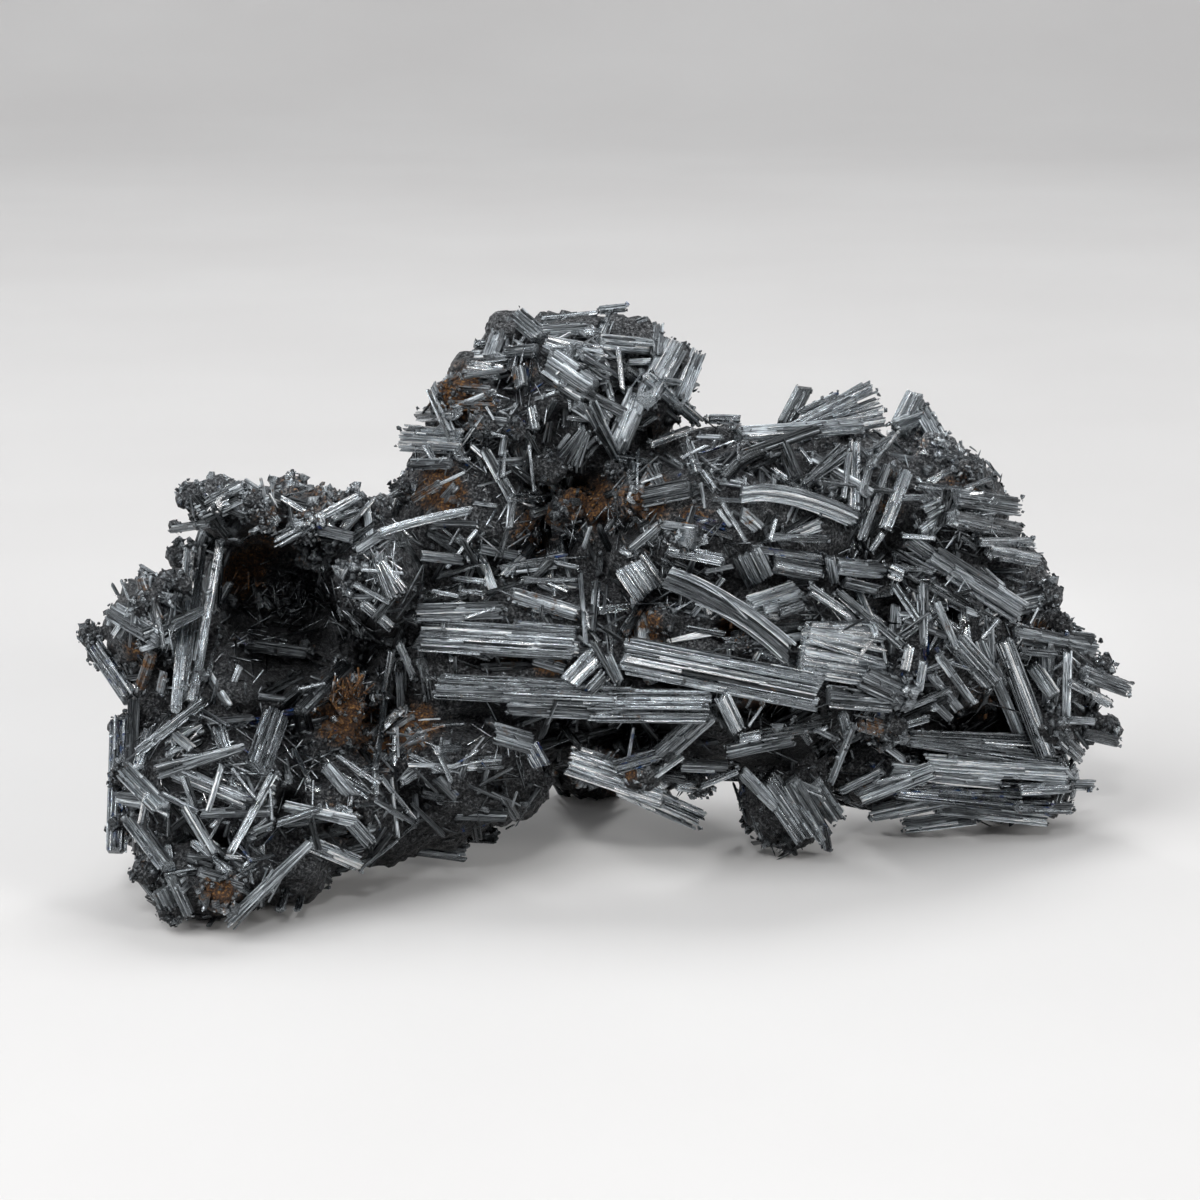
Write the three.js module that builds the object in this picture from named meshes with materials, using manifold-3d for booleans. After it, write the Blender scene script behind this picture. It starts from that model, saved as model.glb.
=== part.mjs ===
// Stibnite crystal cluster: one intergrown mass of blades, prisms and fans that
// stands on three lumpy feet and a fourth at the back. Millimetres, +Z up.
//
// The mass is laid out in the frame of its front elevation: `across` to the
// right, `up` in the plane of the elevation, and `near` towards the viewer. The
// elevation looks down on the cluster a little, from a finite distance, and
// `place` turns its three coordinates into the part's own frame.

import * as THREE from 'three';
import { mergeVertices } from 'three/addons/utils/BufferGeometryUtils.js';
import Module from 'manifold-3d';

// ---- Driving dimensions ----------------------------------------------------

const VIEW_DISTANCE = 400;
const VIEW_TILT = THREE.MathUtils.degToRad(12);
const VIEW_HEIGHT = 27;
const ORIGIN_X = 2.79;
const ORIGIN_Y = 2.96;

const LARGE_LUMP = 11;
const LARGE_LUMP_DETAIL = 2;
const SMALL_LUMP_DETAIL = 1;
const LUMP_ROUGHNESS = 0.11;
const BLADE_FLATNESS = 0.62;
const BLADE_TAPER = 0.88;
const BEVELLED_WIDTH = 2.4;
const BEVEL_SHARE = 0.75;
const MIN_ROOT_SHARE = 0.2;
const SINK_STEP = 0.5;
const MAX_SINK_STEPS = 24;
const CURVE_STEPS = 3;

const SPROUT_COUNT = 50;
const SPROUT_LENGTH = 9.5;
const SPROUT_WIDTH = 2.6;
const SPROUT_CLEARANCE = 8;
const SEED = 11;

// ---- Layout ----------------------------------------------------------------

// The mass under the crystals, as rounded lumps:
// [across, up, near, half width, half height, half depth]
const LUMPS = [
  [-38.5, -20, 9, 10.5, 10.5, 14],
  [-39, -27.5, 16, 8, 5.5, 8],
  [-28, -21, 8, 9, 7.5, 11],
  [-36.5, 9, 2, 5.5, 3.6, 9],
  [-28, 8, 1, 8, 3.4, 9],
  [-45, -3, 7, 5.2, 6.5, 8],
  [-32, 0, -7, 10, 9, 8],
  [-22, 2, 3, 5.5, 7.5, 11],
  [-35, -9, 4, 12.5, 6, 12],
  [-15, -17, 3, 10.5, 8, 10],
  [-7, -6, -5, 18, 12, 17],
  [-13, 8, -5, 8.5, 11, 12],
  [-10.5, 17.5, -7, 8, 7.5, 12],
  [-3, 19, -8, 9.5, 9.5, 13],
  [3.5, 20, -8, 6, 6, 10],
  [12, 6, -6, 17, 11.5, 18],
  [14, -6, -5, 17, 12, 18],
  [24, 10, -9, 9.5, 8.5, 14],
  [33, 8, -12, 9, 9, 12],
  [30, -4, -11, 13, 12, 15],
  [41, 0, -16, 5.5, 7, 10],
  [44.5, -9, -17, 6.5, 7.5, 9],
  [40, -17.8, -17, 8.5, 5.4, 8],
  [29, -17, -13, 8, 4.5, 9],
  [18.5, -18.8, -7, 5.5, 7.6, 7],
  [5, -15, -4, 9, 5, 10],
  [-1, -12.5, -30, 7.5, 8.6, 6.5],
  [6, 2, -21, 22, 13, 11],
];

// The crystals on the front, region by region. Each row is one crystal:
// [across, up] of its two ends, its width, and how far its axis stands proud of
// the lumps at each end.
const LEFT_LOBE = [
  [-49.2, -0.8, -44.2, -3.8, 2, 0.6, 0.6],
  [-50.8, -4.2, -47, -9.8, 1.8, 0.6, 0.6],
];

const LEFT_BALL = [
  [-48.6, -12, -48.9, -25, 1.8, 0.4, 0.4],
  [-47.8, -16.5, -44, -20.5, 2.2, 0.6, 0.6],
  [-47.2, -21.5, -43.5, -26.5, 1.8, 0.6, 0.6],
  [-32, -10.8, -34, -16.5, 2.6, 1.2, 1.4],
  [-43.8, -29, -42, -32.5, 2, 0.5, 0.3],
];

const TOWER = [
  [-20.6, 16.2, -14, 15.8, 2.3, 0.4, 0.6],
  [-11, 26.4, -8, 28.6, 2, 0.6, 0.8],
  [-5.5, 24, -1, 21, 3.2, 0.9, 0.9],
  [-7, 25.5, 0.5, 24.8, 1.8, 1, 1.2],
  [8.3, 22.6, 9.4, 25.6, 2.1, 0.8, 0.8],
  [3.9, 21, 1.4, 14.8, 2.7, 1.2, 1.5],
];

const RIDGE = [
  [19, 17.6, 27, 21, 2.2, 0.6, 0.6],
  [22, 18, 28, 19.6, 1.8, 0.9, 0.9],
];

const RIGHT_BODY = [
  [17.5, 3.8, 22.4, 2.9, 2, 1.2, 1.2],
  [15, 4.8, 16.5, 1.8, 3.2, 1.2, 1.2],
  [24, 3.6, 28.6, 3.1, 1.9, 1.6, 1.6],
  [3, 3.8, 5.2, 0.6, 3.6, 1.2, 1.6],
  [4, 10.2, 9, 11.2, 2, 0.8, 0.8],
  [15, -0.4, 20, 1.2, 2, 1.8, 1.8],
  [33, 4.6, 42.4, -1.4, 2.5, 1.8, 1.8],
  [36, 10.5, 42.4, 9.5, 2, 0.6, 0.4],
  [41.5, -0.5, 45.8, 0.4, 2, 0.4, 0.2],
];

const MIDDLE = [
  [-17, -3.5, -10, -2.6, 3, 0.9, 1.1],
];

const LOWER_CENTRE = [
  [-16.4, -9, -3, -9.2, 2.5, 1.2, 1.2],
  [-8, -10.9, 1, -10.9, 1.9, 1.1, 1.1],
  [-0.5, -10, 11.2, -9.8, 4, 1.3, 1.3],
  [0.5, -4.8, 22, -9.5, 3.9, 1.8, 3],
  [-3.2, -8.2, -0.4, -5.4, 1.9, 1.8, 1.8],
  [-10.5, -13.3, -6.3, -14.5, 2.1, 1, 1],
  [-7, -14.5, -5.7, -16.8, 1.8, 0.6, 0.6],
  [5.6, -15.9, 10.7, -11.4, 2.3, 1.4, 1.6],
  [-3.2, -16.2, 2, -17.4, 2, 1, 1.2],
  [1.8, -19, 9.6, -22.3, 2, 0.8, 0.6],
  [16.7, -18, 20.9, -24, 2.6, 1, 1],
  [19.2, -18.2, 22.6, -24, 1.8, 0.8, 0.8],
  [21.8, -19, 24, -22.2, 1.8, 0.6, 0.4],
  [20.8, -3, 28.6, -4.2, 3, 1.8, 2.2],
  [20.4, -5.9, 28.8, -7.2, 3, 1.6, 1.8],
  [23, -9.6, 29.6, -10.2, 2.2, 1.2, 1.4],
  [26.5, -7.6, 31, -9.6, 2.6, 1.4, 1.2],
  [26, -12.2, 30, -13.4, 1.8, 0.6, 0.6],
];

const RIGHT_END = [
  [30.6, -14.9, 46, -16, 2.4, 0.9, 0.9],
  [29, -17.2, 46, -17.5, 2, 0.8, 0.8],
  [28, -19.4, 45, -20, 2.6, 0.6, 0.6],
  [40.3, -4, 44.8, -15.8, 1.9, 1, 1],
  [35.6, -4.2, 39.5, -8.6, 2.4, 1.6, 1.8],
  [41.8, -3.2, 50.2, -4.8, 1.9, 0.4, 0.2],
  [48.6, -7.2, 53.2, -8.9, 1.8, 0.2, 0.1],
];

const FRONT_CRYSTALS = [
  ...LEFT_LOBE,
  ...LEFT_BALL,
  ...TOWER,
  ...RIDGE,
  ...RIGHT_BODY,
  ...MIDDLE,
  ...LOWER_CENTRE,
  ...RIGHT_END,
];

// Bent blades: [across, up] at the start, middle and end, width, proud height.
const BENT_CRYSTALS = [
  [6.3, 2.6, 12.5, 0.6, 19.2, -5.4, 2.3, 2.4],
  [14, 10.7, 18.6, 11.3, 25.8, 8.2, 1.7, 1.8],
  [12.5, 12.3, 14.5, 14.6, 16.5, 15, 1.2, 1],
];

// ---- Shared geometry -------------------------------------------------------

const wasm = await Module();
wasm.setup();

function place(across, up, near) {
  const spread = 1 - near / VIEW_DISTANCE;
  const rise = up * spread;
  const sine = Math.sin(VIEW_TILT);
  const cosine = Math.cos(VIEW_TILT);
  return new THREE.Vector3(
    across * spread - ORIGIN_X,
    rise * sine - near * cosine - ORIGIN_Y,
    VIEW_HEIGHT + rise * cosine + near * sine,
  );
}

// A small repeatable source of numbers from 0 to 1.
function makeRandom(seed) {
  let state = seed;
  return () => {
    state = (state * 16807) % 2147483647;
    return state / 2147483647;
  };
}

function toSolid(geometry) {
  geometry.deleteAttribute('normal');
  geometry.deleteAttribute('uv');
  const merged = mergeVertices(geometry, 1e-5);
  return new wasm.Manifold(new wasm.Mesh({
    numProp: 3,
    vertProperties: new Float32Array(merged.attributes.position.array),
    triVerts: new Uint32Array(merged.index.array),
  }));
}

function mapPoints(geometry, move) {
  const position = geometry.attributes.position;
  const point = new THREE.Vector3();
  for (let i = 0; i < position.count; i += 1) {
    point.fromBufferAttribute(position, i);
    const moved = move(point);
    position.setXYZ(i, moved.x, moved.y, moved.z);
  }
  return geometry;
}

// ---- Lumps -----------------------------------------------------------------

function ripple(point, phase) {
  const wave = Math.sin(5.1 * point.x + phase) * Math.sin(4.3 * point.y + 2 * phase)
    + Math.sin(6.7 * point.z + 3 * phase);
  return 1 + LUMP_ROUGHNESS * wave * 0.5;
}

function makeLump([across, up, near, halfWidth, halfHeight, halfDepth], index) {
  const detail = halfWidth > LARGE_LUMP ? LARGE_LUMP_DETAIL : SMALL_LUMP_DETAIL;
  const ball = new THREE.IcosahedronGeometry(1, detail);
  return toSolid(mapPoints(ball, (point) => {
    const swell = ripple(point, index);
    return place(
      across + halfWidth * swell * point.x,
      up + halfHeight * swell * point.y,
      near + halfDepth * swell * point.z,
    );
  }));
}

// How near the lumps' front surface is at a point of the elevation.
function frontOf(across, up) {
  let nearest = -Infinity;
  let bestInside = -Infinity;
  let fallback = 0;
  for (const [a, b, near, halfWidth, halfHeight, halfDepth] of LUMPS) {
    const inside = 1 - ((across - a) / halfWidth) ** 2 - ((up - b) / halfHeight) ** 2;
    if (inside > 0) {
      nearest = Math.max(nearest, near + halfDepth * Math.sqrt(inside));
    }
    if (inside > bestInside) {
      bestInside = inside;
      fallback = near;
    }
  }
  return Math.max(nearest, fallback);
}

// ---- Crystals --------------------------------------------------------------

// Broad blades have bevelled edges; narrow ones are plain four-sided laths.
function bladeSection(width, thickness) {
  const side = width / 2;
  const face = thickness / 2;
  const flat = side * (width < BEVELLED_WIDTH ? 1 : BEVEL_SHARE);
  const shape = new THREE.Shape();
  shape.moveTo(flat, face);
  shape.lineTo(-flat, face);
  if (flat < side) {
    shape.lineTo(-side, 0);
  }
  shape.lineTo(-flat, -face);
  shape.lineTo(flat, -face);
  if (flat < side) {
    shape.lineTo(side, 0);
  }
  shape.closePath();
  return shape;
}

// A blade through `points` of the elevation frame, with its broad face turned
// towards `facing`.
function makeBlade(points, width, facing, steps) {
  const route = new THREE.QuadraticBezierCurve3(...points);
  const prism = new THREE.ExtrudeGeometry(
    bladeSection(width, width * BLADE_FLATNESS),
    { depth: 1, steps, bevelEnabled: false },
  );
  return toSolid(mapPoints(prism, (point) => {
    const axis = route.getTangent(point.z);
    const side = new THREE.Vector3().crossVectors(facing, axis).normalize();
    const normal = new THREE.Vector3().crossVectors(axis, side);
    const size = 1 + (BLADE_TAPER - 1) * point.z;
    const spot = route.getPoint(point.z)
      .addScaledVector(side, point.x * size)
      .addScaledVector(normal, point.y * size);
    return place(spot.x, spot.y, spot.z);
  }));
}

function straight(start, end) {
  return [start, new THREE.Vector3().addVectors(start, end).multiplyScalar(0.5), end];
}

// Lets a crystal down into the mass until enough of it is rooted there.
function rooted(mass, points, width, facing, steps) {
  const down = facing.clone().multiplyScalar(-SINK_STEP);
  for (let i = 0; i < MAX_SINK_STEPS; i += 1) {
    const blade = makeBlade(points, width, facing, steps);
    const shared = mass.intersect(blade).volume();
    if (shared > MIN_ROOT_SHARE * blade.volume()) {
      return blade;
    }
    points.forEach((point) => point.add(down));
  }
  return null;
}

const TOWARDS_VIEWER = new THREE.Vector3(0, 0, 1);

function frontCrystal(mass, [a0, b0, a1, b1, width, lift0, lift1]) {
  const start = new THREE.Vector3(a0, b0, frontOf(a0, b0) + lift0);
  const end = new THREE.Vector3(a1, b1, frontOf(a1, b1) + lift1);
  return rooted(mass, straight(start, end), width, TOWARDS_VIEWER, 1);
}

function bentCrystal(mass, [a0, b0, a1, b1, a2, b2, width, lift]) {
  const points = [[a0, b0], [2 * a1 - (a0 + a2) / 2, 2 * b1 - (b0 + b2) / 2], [a2, b2]]
    .map(([a, b]) => new THREE.Vector3(a, b, frontOf(a, b) + lift));
  return rooted(mass, points, width, TOWARDS_VIEWER, CURVE_STEPS);
}

// Blades that grow outwards on the back, the ends, the top and underneath.
function sprouts(mass) {
  const random = makeRandom(SEED);
  const blades = [];
  for (let i = 0; i < SPROUT_COUNT; i += 1) {
    const [across, up, near, halfWidth, halfHeight, halfDepth] = LUMPS[i % LUMPS.length];
    const turn = 2 * Math.PI * random();
    const back = -random();
    const ring = Math.sqrt(1 - back * back);
    const outwards = new THREE.Vector3(ring * Math.cos(turn), ring * Math.sin(turn), back);
    const root = new THREE.Vector3(
      across + outwards.x * halfWidth,
      up + outwards.y * halfHeight,
      near + outwards.z * halfDepth,
    );
    const lean = new THREE.Vector3(random() - 0.5, random() - 0.5, random() - 0.5);
    const along = new THREE.Vector3().crossVectors(outwards, lean).normalize();
    along.addScaledVector(outwards, 0.35 * random()).normalize();
    const length = SPROUT_LENGTH * (0.5 + random());
    const width = SPROUT_WIDTH * (0.6 + 0.8 * random());
    const start = root.clone().addScaledVector(along, -length / 2);
    const end = root.clone().addScaledVector(along, length / 2);
    const lowest = Math.min(place(start.x, start.y, start.z).z, place(end.x, end.y, end.z).z);
    if (lowest > SPROUT_CLEARANCE) {
      blades.push(rooted(mass, straight(start, end), width, outwards, 1));
    }
  }
  return blades;
}

// ---- The cluster -----------------------------------------------------------

function buildCluster() {
  const lumps = LUMPS.map(makeLump);
  const mass = wasm.Manifold.union(lumps);
  const crystals = [
    ...FRONT_CRYSTALS.map((row) => frontCrystal(mass, row)),
    ...BENT_CRYSTALS.map((row) => bentCrystal(mass, row)),
    ...sprouts(mass),
  ].filter((blade) => blade !== null);
  const grown = wasm.Manifold.union([mass, ...crystals]);

  // The feet are worn flat where the cluster stands.
  const ground = new THREE.BoxGeometry(200, 200, 40);
  ground.translate(0, 0, -20);
  return grown.subtract(toSolid(ground));
}

function toGeometry(solid) {
  const mesh = solid.getMesh();
  const geometry = new THREE.BufferGeometry();
  geometry.setAttribute('position', new THREE.BufferAttribute(mesh.vertProperties, 3));
  geometry.setIndex(new THREE.BufferAttribute(mesh.triVerts, 1));
  return geometry;
}

const stibnite = new THREE.MeshStandardMaterial({
  color: 0x4c5157,
  roughness: 0.38,
  metalness: 0.85,
  flatShading: true,
});

const cluster = new THREE.Mesh(toGeometry(buildCluster()), stibnite);
cluster.name = 'crystal_cluster';

const part = new THREE.Group();
part.add(cluster);

export default part;
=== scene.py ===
"""Stibnite crystal cluster: striated metallic blades, fans and needles on a dark, iron-stained crust.

The cluster is laid out in the frame of its front elevation, in millimetres: `across` to the right,
`up` in the plane of the elevation and `near` towards the viewer. `place` turns these into the
part's own frame, in metres, the same way as the CAD part does.
"""

import math

import bmesh
import bpy
import numpy as np
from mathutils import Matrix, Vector


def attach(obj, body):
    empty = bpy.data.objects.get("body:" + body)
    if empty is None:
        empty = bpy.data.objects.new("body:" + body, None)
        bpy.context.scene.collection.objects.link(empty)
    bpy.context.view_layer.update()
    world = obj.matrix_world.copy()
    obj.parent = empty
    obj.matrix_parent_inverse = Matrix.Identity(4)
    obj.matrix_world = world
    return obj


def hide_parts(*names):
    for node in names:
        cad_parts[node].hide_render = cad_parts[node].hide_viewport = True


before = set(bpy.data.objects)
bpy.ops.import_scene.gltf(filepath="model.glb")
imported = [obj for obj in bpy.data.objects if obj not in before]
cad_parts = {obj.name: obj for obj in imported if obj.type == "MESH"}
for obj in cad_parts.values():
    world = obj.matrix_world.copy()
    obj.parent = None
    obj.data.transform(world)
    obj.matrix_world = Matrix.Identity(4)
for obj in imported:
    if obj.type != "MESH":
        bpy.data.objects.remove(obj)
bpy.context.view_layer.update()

# ---- Driving dimensions ---------------------------------------------------------------------

# Lengths are in millimetres. MM turns them into Blender's metres.
MM = 0.001
NODE = "crystal_cluster"

# The view of the elevation: distance, downward tilt, height of its middle and width. ORIGIN is
# where the middle of the part lies in it.
VIEW_DISTANCE = 400.0
VIEW_TILT = math.radians(12)
VIEW_HEIGHT = 27.0
VIEW_WIDTH = 120.0
ORIGIN = (2.79, 2.96)

# The crust: how much smaller than the mass its lumps are, at least this share of them, and the
# size of its mesh.
CORE_INSET = 1.2
CORE_SHARE = 0.8
CORE_VOXEL = 0.51

# The hollows: how far behind the front they stop, over what depth they fade, and how much crust
# is left behind them.
CUT_REACH = 6.0
CUT_FADE = 3.0
CUT_SPARE = 1.5

# The crystals: the width of a rib, the length from which ribs are broken, and how many there are.
RIB_WIDTH = 0.2
LONG_CRYSTAL = 6.0
SMALL_CRYSTALS = 4500
REAR_SHARE = 0.62
BACK_CRYSTALS = 300
NEEDLES = 2600
GRAINS = 5600

# The sides: the near part from which an outward direction counts as the front, where the far side
# begins, and where the brightness of the knobs ends.
FACES_FRONT = 0.1
FAR_SIDE = -12
KNOBS_END = -14

# Random samples: the deepest overlap that still counts as open surface, the least height above
# the floor, and the range of the texture shifts that make every crystal different.
SEAM = 0.35
CLEARANCE = 0.6
SHIFT = 200

RNG = np.random.default_rng(20)

# ---- Layout ---------------------------------------------------------------------------------

# The mass under the crystals: across, up, near, half width, half height, half depth.
LUMPS = np.array([
    (-38.5, -20, 9, 10.5, 10.5, 14), (-39, -27.5, 16, 8, 5.5, 8), (-28, -21, 8, 9, 7.5, 11),
    (-36.5, 9, 2, 5.5, 3.6, 9), (-28, 8, 1, 8, 3.4, 9), (-45, -3, 7, 5.2, 6.5, 8),
    (-32, 0, -7, 10, 9, 8), (-22, 2, 3, 5.5, 7.5, 11), (-35, -9, 4, 12.5, 6, 12),
    (-15, -17, 3, 10.5, 8, 10), (-7, -6, -5, 18, 12, 17), (-13, 8, -5, 8.5, 11, 12),
    (-10.5, 17.5, -7, 8, 7.5, 12), (-3, 19, -8, 9.5, 9.5, 13), (3.5, 20, -8, 6, 6, 10),
    (12, 6, -6, 17, 11.5, 18), (14, -6, -5, 17, 12, 18), (24, 10, -9, 9.5, 8.5, 14),
    (33, 8, -12, 9, 9, 12), (30, -4, -11, 13, 12, 15), (41, 0, -16, 5.5, 7, 10),
    (44.5, -9, -17, 6.5, 7.5, 9), (40, -17.8, -17, 8.5, 5.4, 8), (29, -17, -13, 8, 4.5, 9),
    (18.5, -18.8, -7, 5.5, 7.6, 7), (5, -15, -4, 9, 5, 10), (-1, -12.5, -30, 7.5, 8.6, 6.5),
    (6, 2, -21, 22, 13, 11),
])

# Crust that closes the gaps behind the crystals, laid out like the lumps.
FILLERS = np.array([
    (-22.5, -22.2, 2, 6.5, 4.4, 6), (-16.5, -20.6, 1, 6.5, 4.2, 6), (-10.5, -18.6, 0, 6, 3.8, 6),
    (-25.5, -12.5, -3, 5, 5, 6), (-24.5, -5.5, -4, 3.5, 3.5, 5), (37.7, -13.2, -18, 5, 3.6, 5),
    (-40.3, -3.8, 2, 3, 3, 4), (-9.2, 26.2, -8, 2.3, 2.9, 4), (-3.0, 26.6, -8, 5.5, 2.2, 5),
    (2.4, 25.8, -8, 4.4, 2.6, 5), (6.8, 23.6, -8, 3.2, 2.6, 4), (-12.6, 22.0, -8, 2.8, 3.0, 4),
    (12.0, 15.8, -8, 4, 1.8, 4), (-31.0, -26.8, 12, 4.2, 3.6, 6), (-44.8, -11.5, 5, 2.6, 3.0, 5),
])
SOLID = np.concatenate([LUMPS, FILLERS])

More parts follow.
